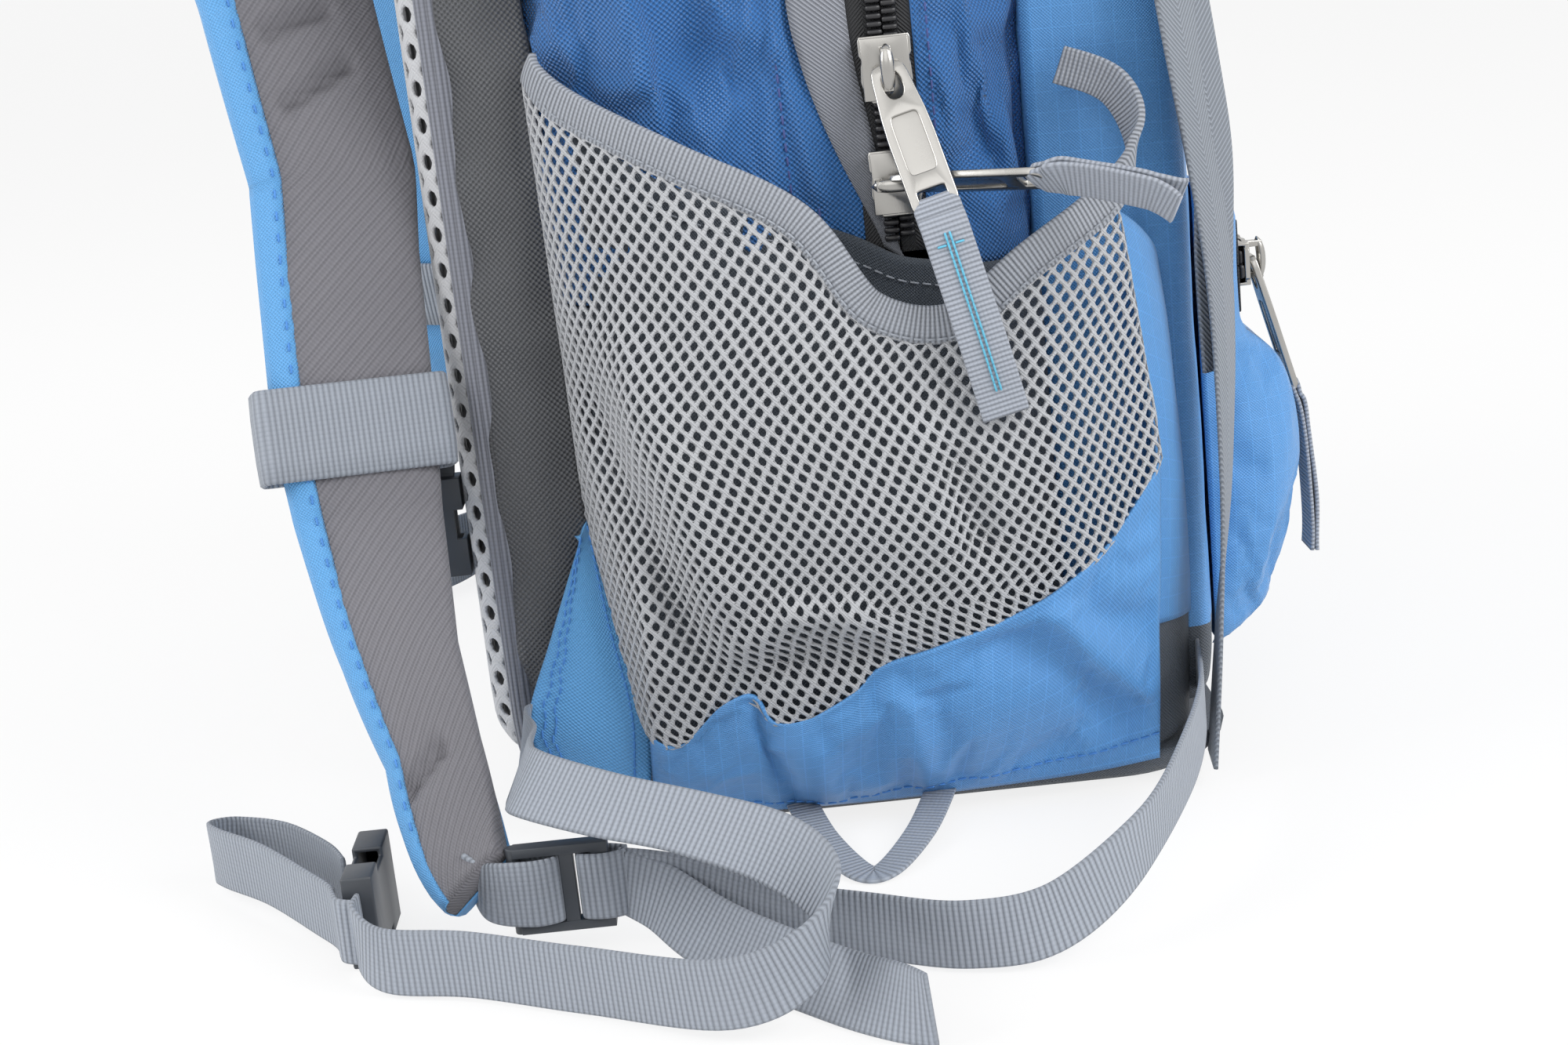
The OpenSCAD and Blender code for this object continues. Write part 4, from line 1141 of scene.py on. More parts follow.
@dataclass
class BagShell:
    """The sewn walls of the main compartment."""

    form: BagForm
    stitches: Stitcher
    wall: float = 1.8
    zip_low: float = 170.0
    flap_z: float = 332.0
    base_top: float = 12.2
    base_front: float = 137.3
    side_folds: tuple = ((1, 310, 2, 247, 3.6, 7), (2, 247, 7, 201, 3.6, 6),
                         (-15, 310, -13, 244, -3.4, 8), (-13, 244, -20, 217, -3.6, 8),
                         (11.5, 310, 12.5, 240, 2.4, 3), (12.5, 240, 20, 198, 2.4, 3),
                         (-40, 300, -34, 236, 3, 8))
    front_folds: tuple = ((55, 214, 76, 177, 2.6, 4), (55, 237, 64, 208, 2.2, 3.5),
                          (84, 220, 77, 191, 2.6, 5), (66, 214, 80, 184, -2.4, 4),
                          (62, 242, 71, 205, -2.2, 4))
    charcoal_edge: tuple = ((-50, 224), (-30, 209), (-8, 198), (8, 193), (16, 190), (30, 184),
                            (41, 178), (52, 175), (61, 173), (73, 172), (85, 175))

    def build(self) -> None:
        """Makes the walls and the bottom."""
        for side in Side:
            self.side_panel(side)
            self.front_gusset(side)
            self.pocket_back(side)
        self.back_wall()
        self.front_wall()
        self.top_flap()
        self.bottom()

    def side_panel(self, side: Side) -> None:
        """Makes the large blue side behind the zip."""
        f = self.form
        rows = [f.level(f.zip_x(z) - (f.slot - 4.5 * math.cos(f.angle(z))), to_front=False, z=z,
                        cols=90) for z in f.heights(self.zip_low + 0.2, f.top, step=3.0)]
        grid = creased(arr(rows), deep=4.2, size=44, seed=1.0 if side is Side.LEFT else 6.0,
                       stretch=(1, 1, 1.8), rows=6, cols=14)
        grid = creased(grid, deep=1.6, size=17, seed=2.0, stretch=(0.6, 1, 1.9), rows=6, cols=14)
        grid[..., 1] -= folds(grid, self.side_folds) * eased(len(grid), 8)[:, None]
        grid = settled(grid, spare=0.03, press=0.8, most=6.5,
                       calm=np.clip((12 - grid[..., 0]) / 12, 0, 1))
        settle(cloth_sheet(f"{side.value}_side_panel", side.place(grid), self.wall, BLUE))

    def front_gusset(self, side: Side) -> None:
        """Makes the blue side in front of the zip."""
        f = self.form
        rows = [f.level(f.x_zip + f.slot, to_front=True, z=z, cols=40)
                for z in f.heights(self.zip_low + 0.2, self.flap_z - 0.4)]
        grid = creased(arr(rows), deep=3.2, size=30, seed=2.0 if side is Side.LEFT else 7.0,
                       stretch=(0.8, 1, 1.6), rows=5, cols=8)
        grid[..., 1] -= (folds(grid, self.front_folds) * eased(len(grid), 5)[:, None]
                         * eased(40, 5)[None, :])
        grid = settled(grid, spare=0.03, press=0.3, most=4.0,
                       calm=np.clip((np.abs(grid[..., 2] - 300) - 13) / 10, 0, 1))
        grid[..., 1] -= 1.6 * np.exp(-(grid[..., 0] - f.x_zip - f.slot) / 1.6)
        settle(cloth_sheet(f"{side.value}_front_gusset", side.place(grid), self.wall, BLUE))

    def pocket_back(self, side: Side) -> None:
        """Makes the charcoal wall behind the side pocket, lapped over the blue side."""
        f = self.form
        x = np.linspace(-32, 55, 44)
        z = np.linspace(self.base_top, self.zip_low - 2, 70)
        flat = np.stack([np.broadcast_to(x, (70, 44)), np.full((70, 44), -f.half_w),
                         np.broadcast_to(z[:, None], (70, 44))], axis=2)
        low = cloth_sheet("low", side.place(creased(flat, deep=1.4, size=40, seed=3.0)), self.wall,
                          CHARCOAL_PLAIN)
        edge = resample(spline(self.charcoal_edge, 8), 70)
        lap = arr([[(p[0], -f.half_w - 1.2, 26 + (p[1] - 26) * t) for p in edge]
                   for t in np.linspace(0, 1, 60)])
        lap[..., 1] -= (3.4 * np.clip((lap[..., 0] - 46) / 8, 0, 1)
                        * np.clip((172 - lap[..., 2]) / 14, 0, 1)
                        + 2.6 * np.exp(-((lap[..., 0] + 20) / 16) ** 2))
        lap[..., 1] -= (3.2 * np.exp(-((lap[..., 0] - 43) / 9) ** 2)
                        * np.clip((lap[..., 2] - 160) / 14, 0, 1) + 0.5 * rumple(lap, 14, 41.0))
        lap[-2:, :, 1] -= 0.5
        lap[..., 1] += (np.where(lap[..., 0] < -32, (lap[..., 0] + 32) ** 2 / 60, 0)
                        + np.where(lap[..., 0] > 55, (lap[..., 0] - 55) ** 2 / 60, 0))
        high = cloth_sheet("high", side.place(lap), 0.8, CHARCOAL_PLAIN)
        settle(merged(f"{side.value}_pocket_back", [low, high]))
        self.stitches.line("pack", GREY_THREAD, side.place(lap[-4] - arr([0, 0.2, 0])),
                           side.place(arr([[0, -1, 0]])), pitch=3.6)

    def back_wall(self) -> None:
        """Makes the charcoal rear wall, its lower corners and the yoke over the shoulder."""
        f = self.form
        low = arr([f.level(f.x_back + f.corner, to_front=False, z=z, cols=90, whole=True)
                   for z in f.heights(self.base_top, self.zip_low - 0.2, step=8)])
        high = []
        for z in f.heights(self.zip_low, f.top, step=8):
            row = f.level(f.zip_x(z) - f.slot, to_front=False, z=z, cols=60)
            high.append(resample(arr([row[-1], mirrored(row[-1])]), 70))
        grids = (creased(low, deep=1.0, size=40, seed=9.0),
                 creased(arr(high), deep=1.0, size=44, seed=10.0))
        parts = [cloth_sheet(part, grid, self.wall, CHARCOAL_PLAIN)
                 for part, grid in zip(("low", "high"), grids)]
        settle(merged("back_wall", parts))

    def front_wall(self) -> None:
        """Makes the blue wall behind the front compartment."""
        f = self.form
        low = arr([f.level(f.x_front - f.corner, to_front=True, z=z, cols=90, whole=True)
                   for z in f.heights(self.base_top, self.zip_low - 0.2, step=8)])
        wide = f.half_w - f.corner
        high = arr([[(f.x_front, y, z) for y in np.linspace(-wide, wide, 60)]
                    for z in np.linspace(self.zip_low, self.flap_z - 0.4, 40)])
        parts = [cloth_sheet("low", low, self.wall, BLUE),
                 cloth_sheet("high", creased(high, deep=1.0, size=40, seed=11.0), self.wall, BLUE)]
        settle(merged("front_wall", parts))

    def top_flap(self) -> None:
        """Makes the front and top that fold open on the zip."""
        f = self.form
        rows = [f.level(f.zip_x(z) + f.slot * math.cos(f.angle(z)), to_front=True, z=z, cols=150,
                        whole=True) for z in f.heights(self.flap_z + 0.4, f.top)]
        grid = settled(creased(arr(rows), deep=2.2, size=52, seed=4.0, stretch=(1, 1, 1.3), rows=6,
                               cols=10), spare=0.02, press=1.0, most=5.0)
        settle(cloth_sheet("top_flap", grid, self.wall, BLUE), "top_flap")

    def bottom(self) -> None:
        """Makes the charcoal base on which the pack stands."""
        f, rings = self.form, []
        for z, inset in ((0, 13), (0.5, 10.5), (1.6, 7.6), (3.5, 5), (6, 3), (9, 1.6), (12, 1)):
            loop, _ = rounded_loop(f.x_back + inset, self.base_front - inset, inset - f.half_w,
                                   f.half_w - inset, r=f.corner, n=180)
            rings.append(np.concatenate([loop, np.full((len(loop), 1), z)], axis=1))
        settle(box_uv(loft_form("bottom_panel", arr(rings), CHARCOAL_PLAIN)))


def rounded_loop(a0: float, a1: float, b0: float, b1: float, r: float,
                 n: int) -> tuple[Points, Points]:
    """Closed rounded rectangle.

    Args:
        a0: low end on the first axis.
        a1: high end on the first axis.
        b0: low end on the second axis.
        b1: high end on the second axis.
        r: radius of its corners.
        n: number of points.

    Returns:
        The points and the outward directions, two numbers each.
    """
    rows = []
    for k, (ca, cb) in enumerate(((a1 - r, b1 - r), (a0 + r, b1 - r), (a0 + r, b0 + r),
                                  (a1 - r, b0 + r))):
        for t in np.radians(np.linspace(90 * k, 90 * k + 90, 12)):
            rows.append((ca + r * math.cos(t), cb + r * math.sin(t), math.cos(t), math.sin(t)))
    even = resample(arr(rows + rows[:1]), n + 1)[:n]
    return even[:, :2], unit(even[:, 2:])


@dataclass
class FrontPockets:
    """The flat front compartment and the belly pocket on it."""

    x0: float = 85.3
    x1: float = 137.3
    half: float = 128.0
    z0: float = 12.3
    z1: float = 318.0
    foot: float = 0.046
    middle: tuple = (100, 0, 165)
    face_rings: tuple = ((4.0, 9), (2.6, 14), (1.6, 21), (0.9, 32), (0.6, 48), (0.6, 68), (0.6, 90),
                         (0.6, 112))
    belly_x: float = 137.6
    belly_depth: float = 32.5
    proud: float = 1.8
    belly_half: float = 106.0
    zip_z: float = 152.0
    belly_levels: tuple = ((32, 0.02), (36, 0.36), (42, 0.6), (52, 0.78), (66, 0.92), (82, 0.99),
                           (96, 1), (110, 0.95), (121, 0.83), (129, 0.6), (135, 0.5), (152, 0.48),
                           (169, 0.49), (175, 0.4), (180, 0.26), (184, 0.04))

    def build(self) -> None:
        """Makes both pockets."""
        self.compartment()
        self.belly()

    def compartment(self) -> None:
        """Makes the flat compartment with a crowned face."""
        rings = []
        stations = ([(self.x0, 0.0)] + [(self.x0 + t * 38, -1.6 * math.sin(math.pi * t))
                                        for t in np.linspace(0.1, 1, 8)])
        stations += [(self.x1 - 12.5 + 8 * math.sin(a), 6 - 6 * math.cos(a))
                     for a in np.radians((25, 45, 65, 90))]
        stations += [(self.x1 - back, inset) for back, inset in self.face_rings]
        for x, inset in stations:
            r = max(4.0, 30 - max(0.0, inset) * 0.35)
            loop, _ = rounded_loop(-self.half + inset, self.half - inset, self.z0 + inset,
                                   self.z1 - inset, r=min(r, self.half - inset - 1), n=260)
            rings.append(np.concatenate([np.full((len(loop), 1), x), loop], axis=1))
        grid = arr(rings)
        lift = 1.5 * rumple(grid, 44, 12.0) + 0.6 * rumple(grid, 17, 14.0)
        grid[2:] += (unit(grid - arr(self.middle)) * lift[..., None])[2:]
        obj = box_uv(loft_form("front_compartment", grid, RIPSTOP))
        with edited(obj.data) as bm:
            geom = bm.verts[:] + bm.edges[:] + bm.faces[:]
            bmesh.ops.bisect_plane(bm, geom=geom, plane_co=(0, 0, self.foot), plane_no=UP,
                                   dist=1e-6)
            for face in bm.faces:
                face.material_index = int(face.calc_center_median().z < self.foot)
        obj.data.materials.append(CHARCOAL_PLAIN.material())
        settle(obj)

    def belly(self) -> None:
        """Makes the belly pocket, slack under its zip."""
        rows = []
        levels = resample(spline(self.belly_levels, 6), 90)
        for z, part in levels:
            d = max(0.3, self.belly_depth * part)
            q, w = min(22.0, d * 0.95), self.belly_half
            a = np.radians(np.linspace(0, 90, 12))
            arc = np.stack([self.belly_x + d - q + q * np.sin(a), -w + q - q * np.cos(a),
                            np.full(12, z)], axis=1)
            row = np.concatenate([[[self.belly_x, -w, z]], arc])
            rows.append(resample(np.concatenate([row, mirrored(row[::-1])]), 130))
        grid = arr(rows)
        calm = np.clip((np.abs(grid[..., 2] - self.zip_z) - 15) / 14, 0.0, 1.0)
        lift = (2.0 * rumple(grid, 40, 15.0, (1, 1.6, 1)) + 0.8 * rumple(grid, 15, 16.0)) * calm
        lift *= eased(90, 5)[:, None] * eased(130, 4)[None, :]
        sagged = settled(grid + outward(grid) * lift[..., None], spare=0.03, press=0.8, most=4.0,
                         calm=calm)
        sagged[..., 0] = np.minimum(sagged[..., 0], grid[..., 0] + self.proud)
        settle(cloth_sheet("belly_pocket", sagged, 1.6, RIPSTOP))


@dataclass
class BackPanel:
    """Padded back with its gusset, binding and airy cushion."""

    lattice: NodeGroup
    x0: float = -62.3
    face: float = -87.9
    half: float = 128.0
    z0: float = 14.0
    z1: float = 440.0
    thick: float = 12.0
    pitch: float = 11.0
    rim: float = 4.7
    corner: float = 25.0
    groove_deep: float = 6.0
    groove_r: float = 60.0
    spread: tuple = (265, 434)

    def build(self) -> None:
        """Makes the layers from the bag outwards."""
        self.gusset()
        self.binding()
        self.cushion()
        self.foam()
        sheet_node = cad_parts["frame_sheet"]
        sheet_node.data.materials.clear()
        sheet_node.data.materials.append(SHEET_PLASTIC.material())

    def loop(self, inset: float, r: float, n: int, x: float) -> tuple[Points, Points]:
        """Returns points and outward directions of the panel's outline at a distance inside it."""
        flat, out = rounded_loop(-self.half + inset, self.half - inset, self.z0 + inset,
                                 self.z1 - inset, r=r, n=n)
        line = np.concatenate([np.full((n, 1), x), flat], axis=1)
        return line, np.concatenate([np.zeros((n, 1)), out], axis=1)

    def gusset(self) -> None:
        """Makes the charcoal band round the edge of the pad."""
        line, out = self.loop(inset=3.0, r=27.0, n=420, x=0.0)
        deep = self.x0 - self.face
        section = [(-8.0, self.x0 + 0.2), (1.5, self.x0 + 1.4), (3.0, self.x0 + 0.9)]
        section += [(3.0 + 1.8 * math.sin(math.pi * t), self.x0 - 0.2 - t * deep)
                    for t in np.linspace(0.02, 0.98, 12)]
        section += [(0.0, self.face)]
        obj = ring_form("back_gusset", line, out, arr([1, 0, 0]), section, CHARCOAL)
        self.soften(obj, deep=2.4, size=32, seed=20.0)
        settle(obj)

    def soften(self, obj: bpy.types.Object, deep: float, size: float, seed: float) -> None:
        """Gives a finished mesh soft folds along its own directions."""
        places = arr([v.co for v in obj.data.vertices]) * PER_METRE
        lift = deep * (rumple(places, size, seed) + 0.4 * rumple(places, size * 0.4, seed + 2))
        for v, n, d in zip(obj.data.vertices, [tuple(v.normal) for v in obj.data.vertices], lift):
            v.co = v.co + Vector(n) * float(d) * MM

    def binding(self) -> None:
        """Makes the ribbed binding round the cushion."""
        line, out = self.loop(inset=2.4, r=27.6, n=420, x=self.face - 1.0)
        section = [(3.0 * math.cos(a), 4.3 * math.sin(a))
                   for a in np.radians(np.arange(0, 360, 24))]
        settle(ring_form("back_binding", line, out, arr([1, 0, 0]), section, BACK_TAPE))

    def groove(self, y: Points) -> Points:
        """Returns the depth of the air channel down the middle."""
        sag = self.groove_r - np.sqrt(np.maximum(0, self.groove_r**2 - y * y))
        return np.maximum(0, self.groove_deep - sag)

    def height(self, y: Points, z: Points) -> Points:
        """Returns how far the cushion stands out of its binding at a place."""
        r, w, c = self.corner, self.half - self.rim, (self.z0 + self.z1) / 2
        h = (self.z1 - self.z0) / 2 - self.rim
        qy, qz = np.abs(y) - (w - r), np.abs(z - c) - (h - r)
        edge = (r - (np.hypot(np.maximum(qy, 0), np.maximum(qz, 0))
                     + np.minimum(np.maximum(qy, qz), 0)))
        crown = np.sqrt(np.clip(1 - (1 - np.clip(edge / 17, 0, 1)) ** 2, 0, 1)) * self.thick
        return np.where(edge < 0, -1.0, crown - self.groove(y) * np.clip(edge / 30, 0, 1) ** 0.5)

    def wrap(self, a: Points, b: Points) -> Points:
        """Returns places on the cushion for fractions across and up a sheet laid over it."""
        turn = np.radians(np.linspace(0, 90, 60))
        inset, rise = 14 * (1 - np.cos(turn)), 13 * np.sin(turn) - 1
        run = flat_run(inset, rise)
        more = run[-1] - inset[-1]
        w, h, c = self.half - self.rim, (self.z1 - self.z0) / 2 - self.rim, (self.z0 + self.z1) / 2
        y, z = (2 * a - 1) * (w + more), (2 * b - 1) * (h + more)
        r = self.corner + more
        qy, qz = np.abs(y) - (w + more - r), np.abs(z) - (h + more - r)
        corner = (qy > 0) & (qz > 0)
        reach = np.hypot(np.maximum(qy, 0), np.maximum(qz, 0))
        ny = (np.where(corner, np.maximum(qy, 0) / np.maximum(reach, 1e-6), (qy > qz) * 1.0)
              * np.sign(y))
        nz = (np.where(corner, np.maximum(qz, 0) / np.maximum(reach, 1e-6), (qy <= qz) * 1.0)
              * np.sign(z))
        deep = np.maximum(r - np.where(corner, reach, np.maximum(qy, qz)), 0.0)
        to = np.where(deep < run[-1], np.interp(deep, run, inset), deep - more)
        far = np.where(corner & (reach > r), reach - r, 0)
        shift = deep - more - to
        high = np.interp(deep, run, rise) - self.groove(y) * np.clip((deep - 10) / 30, 0, 1)
        return np.stack([self.face - high + 0.6, y + ny * (shift - far),
                         c + z + nz * (shift - far)], axis=-1)

    def cushion(self) -> None:
        """Makes the cushion: a core knit whose dark colour is painted shade, seen through the holes
        of an open knitted face.
        """
        rings = []
        for inset in (4.7, 5.2, 6.2, 8, 10.5, 14, 19, 26, 36, 50, 66, 82, 96, 108, 118, 124):
            r = max(2.0, self.corner - (inset - self.rim) * 0.3) if inset < 100 else 2.0
            line, _ = self.loop(inset=inset, r=r, n=240, x=0.0)
            line[:, 0] = self.face - np.maximum(0, self.height(line[:, 1], line[:, 2]) - 2.2) - 0.3
            rings.append(line)
        # the core is coloured dark as painted shade inside the holes of the net
        core = box_uv(loft_form("back_cushion_core", arr(rings), CORE_SHADE_KNIT))
        settle(core)
        net = diamond_net("back_spacer_mesh", self.wrap,
                          *(2 * round(far / self.pitch) for far in self.spread), SPACER)
        net = self.lattice.apply(net, Hole=0.7, Thickness=0.0016, Rounding=1, Corner=0.0,
                                 Finish=SPACER.material())
        settle(box_uv(net))

    def foam(self) -> None:
        """Makes the foam block inside the gusset."""
        rings = []
        for x, inset in ((-63.9, 5), (-64.9, 3.6), (-68, 3.2), (-84, 3.2), (-87, 3.6), (-87.8, 5)):
            line, _ = self.loop(inset=inset, r=27, n=160, x=x)
            rings.append(line)
        block = loft_form("back_foam", arr(rings), FOAM)
        settle(block)


@dataclass
class SidePocket:
    """Stretch net pocket over a blue base, with a bound rim that dips in front."""

    side: Side
    stitches: Stitcher
    lattice: NodeGroup
    rim: tuple = ((-63, -131.5, 238), (-54, -142.6, 226), (-23, -161, 208), (9, -167, 189),
                  (28, -172, 162), (55, -173, 155), (81, -170, 171), (106, -160, 186))
    curl: tuple = ((112, -150, 200), (107, -142, 215), (93, -136, 222))
    seam: tuple = ((-61, 103), (-57, 81), (-53, 55), (-48, 38), (-38, 36), (-25, 48), (-15, 51),
                   (-10, 42), (1, 43), (16, 50), (25, 58), (44, 63), (68, 70), (93, 83), (111, 102),
                   (115, 109))
    seam_y: tuple = ((-61, -128.3), (-54, -142.5), (-46, -160), (-12, -167), (26, -172), (55, -173),
                     (88, -167), (115, -153.6))
    hem: tuple = ((-50, -147.5, 8), (-12, -147.8, 6.5), (26, -147.8, 6), (55, -147.5, 6.5),
                  (88, -147.6, 8), (110, -146.4, 10))
    strip_in: tuple = ((108.6, -145, 12.8), (111.4, -147.2, 60), (113.4, -152.8, 107),
                       (110.6, -156.4, 148), (105.4, -159.2, 186))
    strip_out: tuple = ((124, -128.4, 17), (126, -128.4, 58), (126, -128.4, 98),
                        (124.5, -128.4, 132), (122, -128.4, 165))
    base_folds: tuple = ((76, 71, 106, 33, 4.5, 6), (66, 60, 98, 26, -3.0, 7),
                         (31, 44, 36, 14, 2.6, 4), (40, 46, 46, 16, -2.0, 5))
    bulge: float = 12.0
    fold: tuple = ((-53, 168), (-21, 61))
    net_folds: tuple = ((-16, 69, 0, 79, 3.2, 5), (0, 79, 18, 77, 3.6, 5), (18, 77, 28, 70, 3.0, 5),
                        (-6, 62, 20, 62, -3.6, 6), (51, 118, 56, 98, -4.5, 7),
                        (43, 130, 47, 100, 2.2, 6))
    mesh: tuple = (2.4, 2.85)
    lean: tuple = (-48, -63)
    columns: tuple = (-8, 110)
    rays: int = 320

    def build(self) -> None:
        """Makes the net, the base, the front strip and the binding."""
        self.net(self.surface(rows=58, cols=106))
        self.base()
        self.binding()

    def seam_line(self, start: int) -> Points:
        """Returns the lower seam from one of its points on, in space."""
        flat = spline(self.seam[start:], 8)
        xs, ys = zip(*self.seam_y)
        return np.stack([flat[:, 0], np.interp(flat[:, 0], xs, ys), flat[:, 1]], axis=1)

    def surface(self, rows: int, cols: int) -> Points:
        """Returns the slack surface of the net, seam to rim."""
        upper, lower = resample(spline(self.rim, 10), cols), self.seam_line(0)
        flat = lower * arr([1, 0.6, 0.4])
        at = run_of(flat)
        lower = np.stack([np.interp(np.linspace(0, at[-1], cols), at, lower[:, k])
                          for k in range(3)], axis=1)
        t = np.linspace(0, 1, rows)[:, None]
        s = np.linspace(0, 1, cols)[None, :]
        grid = lower[None] + (upper - lower)[None] * t[..., None]
        out = self.bulge * np.sin(math.pi * t) * np.sin(math.pi * s)
        (ax, az), (bx, bz) = self.fold
        way = unit(arr([bx - ax, bz - az]))
        px, pz = grid[..., 0] - ax, grid[..., 2] - az
        far = px * way[0] + pz * way[1]
        off = -px * way[1] + pz * way[0]
        span = math.hypot(bx - ax, bz - az)
        reach = np.clip(far / 30, 0, 1) * np.clip((span + 6 - far) / 26, 0, 1)
        out = (out + reach * (6.0 * np.exp(-((off - 9) / 10) ** 2)
                              - 8.0 * np.exp(-((off + 7) / 7) ** 2)))
        out = (out + (1.8 * rumple(grid, 42, 21.0, (1, 1, 1.5)) + 0.8 * rumple(grid, 16, 23.0))
               * np.sin(math.pi * t) ** 0.5 * np.sin(math.pi * s) ** 0.5)
        grid[..., 1] -= out + folds(grid, self.net_folds) * np.clip(np.minimum(t, 1 - t) * 7, 0, 1)
        return grid

    def cut_net(self, grid: Points) -> tuple[Points, list]:
        """Cuts an even net of diamonds to the shape of the pocket.

        Args:
            grid: the surface of the net, seam to rim.

        Returns:
            The knots of the net and the diamonds between them.
        """
        wide, high = self.mesh
        edge = np.concatenate([grid[0], grid[1:, -1], grid[-1, -2::-1], grid[-2::-1, 0]])
        edge = resample(edge, 1000)
        skin = BVHTree.FromPolygons(grid.reshape(-1, 3).tolist(), quads(*grid.shape[:2]).tolist())
        low, top = edge[:, 2].min(), edge[:, 2].max()
        knots = {}
        levels = range(-1, int((top - low) / high) + 2)
        for j in levels:
            z = low + j * high
            start = np.interp(z, (low, top), self.lean)
            xs = np.linspace(start - 16, 128, self.rays)
            hits = [skin.ray_cast((x, -400.0, z), (0, 1, 0))[0] for x in xs]
            found = [k for k, hit in enumerate(hits) if hit is not None]
            ys = np.full(self.rays, -150.0)
            if found:
                ys = np.interp(np.arange(self.rays), found, [hits[k].y for k in found])
            run = flat_run(xs, ys)
            run -= np.interp(start, xs, run)
            for i in range(*self.columns):
                if (i + j) % 2 == 0:
                    knots[i, j] = (np.interp(i * wide, run, xs), np.interp(i * wide, run, ys), z)
        places = arr(list(knots.values()))
        inner = within(places[:, [0, 2]], edge[:, [0, 2]])
        for k in np.flatnonzero(~inner):
            places[k] = edge[np.argmin(np.linalg.norm(edge[:, [0, 2]] - places[k, [0, 2]], axis=1))]
        index = {spot: k for k, spot in enumerate(knots)}
        faces = []
        for i in range(*self.columns):
            for j in levels:
                ring = [index[c] for c in ((i - 1, j), (i, j - 1), (i + 1, j), (i, j + 1))
                        if c in index]
                if (i + j) % 2 and len(ring) == 4 and inner[ring].any():
                    faces.append(ring)
        used = sorted({k for ring in faces for k in ring})
        order = {k: n for n, k in enumerate(used)}
        return places[used], [[order[k] for k in ring] for ring in faces]

    def net(self, grid: Points) -> None:
        """Opens the holes of the net."""
        knots, faces = self.cut_net(grid)
        if self.side is Side.RIGHT:
            faces = [ring[::-1] for ring in faces]
        obj = new_object(f"{self.side.value}_pocket_mesh", self.side.place(knots), faces, None, NET)
        obj = self.lattice.apply(obj, Hole=0.68, Thickness=0.0009, Rounding=1, Corner=1.0,
                                 Finish=NET.material())
        settle(box_uv(obj))

    def base(self) -> None:
        """Makes the blue cloth from the seam down to the hem and the strip in front of it."""
        cols, rows = 120, 44
        top = resample(self.seam_line(3), cols) + arr([0, -0.5, 0.8])
        low = resample(spline(self.hem, 10), cols)
        t = np.linspace(0, 1, rows)[:, None]
        s = np.linspace(0, 1, cols)[None, :]
        grid = low[None] + (top - low)[None] * t[..., None]
        grid[..., 1] -= 6 * np.sin(math.pi * t * 0.9) * np.sin(math.pi * s) ** 0.6
        pleat = (np.sin(grid[..., 0] / 5.2 + 0.6 * np.sin(grid[..., 0] / 19))
                 * np.clip((t - 0.35) / 0.65, 0, 1) * np.sin(math.pi * s) ** 0.4)
        fold = (np.exp(-((grid[..., 0] + 13 - 8 * (1 - t)) / 4.5) ** 2)
                - 0.8 * np.exp(-((grid[..., 0] + 2 - 8 * (1 - t)) / 6) ** 2))
        grid[..., 1] -= (0.9 * pleat + 2.6 * rumple(grid, 34, 25.0, (1.4, 1, 0.8))
                         * np.sin(math.pi * t) ** 0.5 - 4.0 * fold * np.sin(math.pi * t) ** 0.5)
        grid[..., 1] -= (folds(grid, self.base_folds) * eased(rows, 6)[:, None]
                         * eased(cols, 8)[None, :])
        grid = settled(grid, spare=0.03, press=0.6, most=5.0)
        settle(cloth_sheet(f"{self.side.value}_pocket_base", self.side.place(grid), 1.2, RIPSTOP))
        inner, outer = (resample(spline(p, 8), 60) for p in (self.strip_in, self.strip_out))
        w = np.linspace(0, 1, 16)[None, :]
        strip = inner[:, None] + (outer - inner)[:, None] * w[..., None]
        lift = 3.0 * np.sin(math.pi * w) + 1.2 * rumple(strip, 24, 27.0) * np.sin(math.pi * w)
        strip += arr([0.92, -0.39, 0]) * lift[..., None]
        settle(cloth_sheet(f"{self.side.value}_pocket_strip", self.side.place(strip[14:]), 1.0,
                           RIPSTOP))
        settle(cloth_sheet(f"{self.side.value}_pocket_boot",
                           self.side.place(strip[:16] + arr([-0.6, 0.8, 0])), 1.0, CHARCOAL_PLAIN))
        out = self.side.place(arr([[0, -1, 0]]))
        row = surface_at(grid, np.full(90, 0.09), np.linspace(0.01, 0.99, 90))
        self.stitches.line("pack", BLUE_THREAD, self.side.place(row), out, pitch=3.4)

    def binding(self) -> None:
        """Makes the ribbed binding over the rim and its loose curl."""
        line = spline(list(self.rim) + list(self.curl), 12)
        t = tangents(line)
        up = unit(arr([0, 0, 1]) - t * t[:, 2:3])
        mid = line + arr([0, 0.6, 0]) + up * 5.2
        settle(band_piece(f"{self.side.value}_pocket_binding",
                          [(self.side.place(mid), self.side.place(up), 11.5, 2.4, 0.5)], BINDING))
        end = 12 * (len(self.rim) - 1)
        low = line[:end] + up[:end] * 1.3 + arr([0, -1.3, 0])
        self.stitches.line("pack", GREY_THREAD, self.side.place(low),
                           self.side.place(arr([[0, -1, 0.1]])), pitch=3.4)


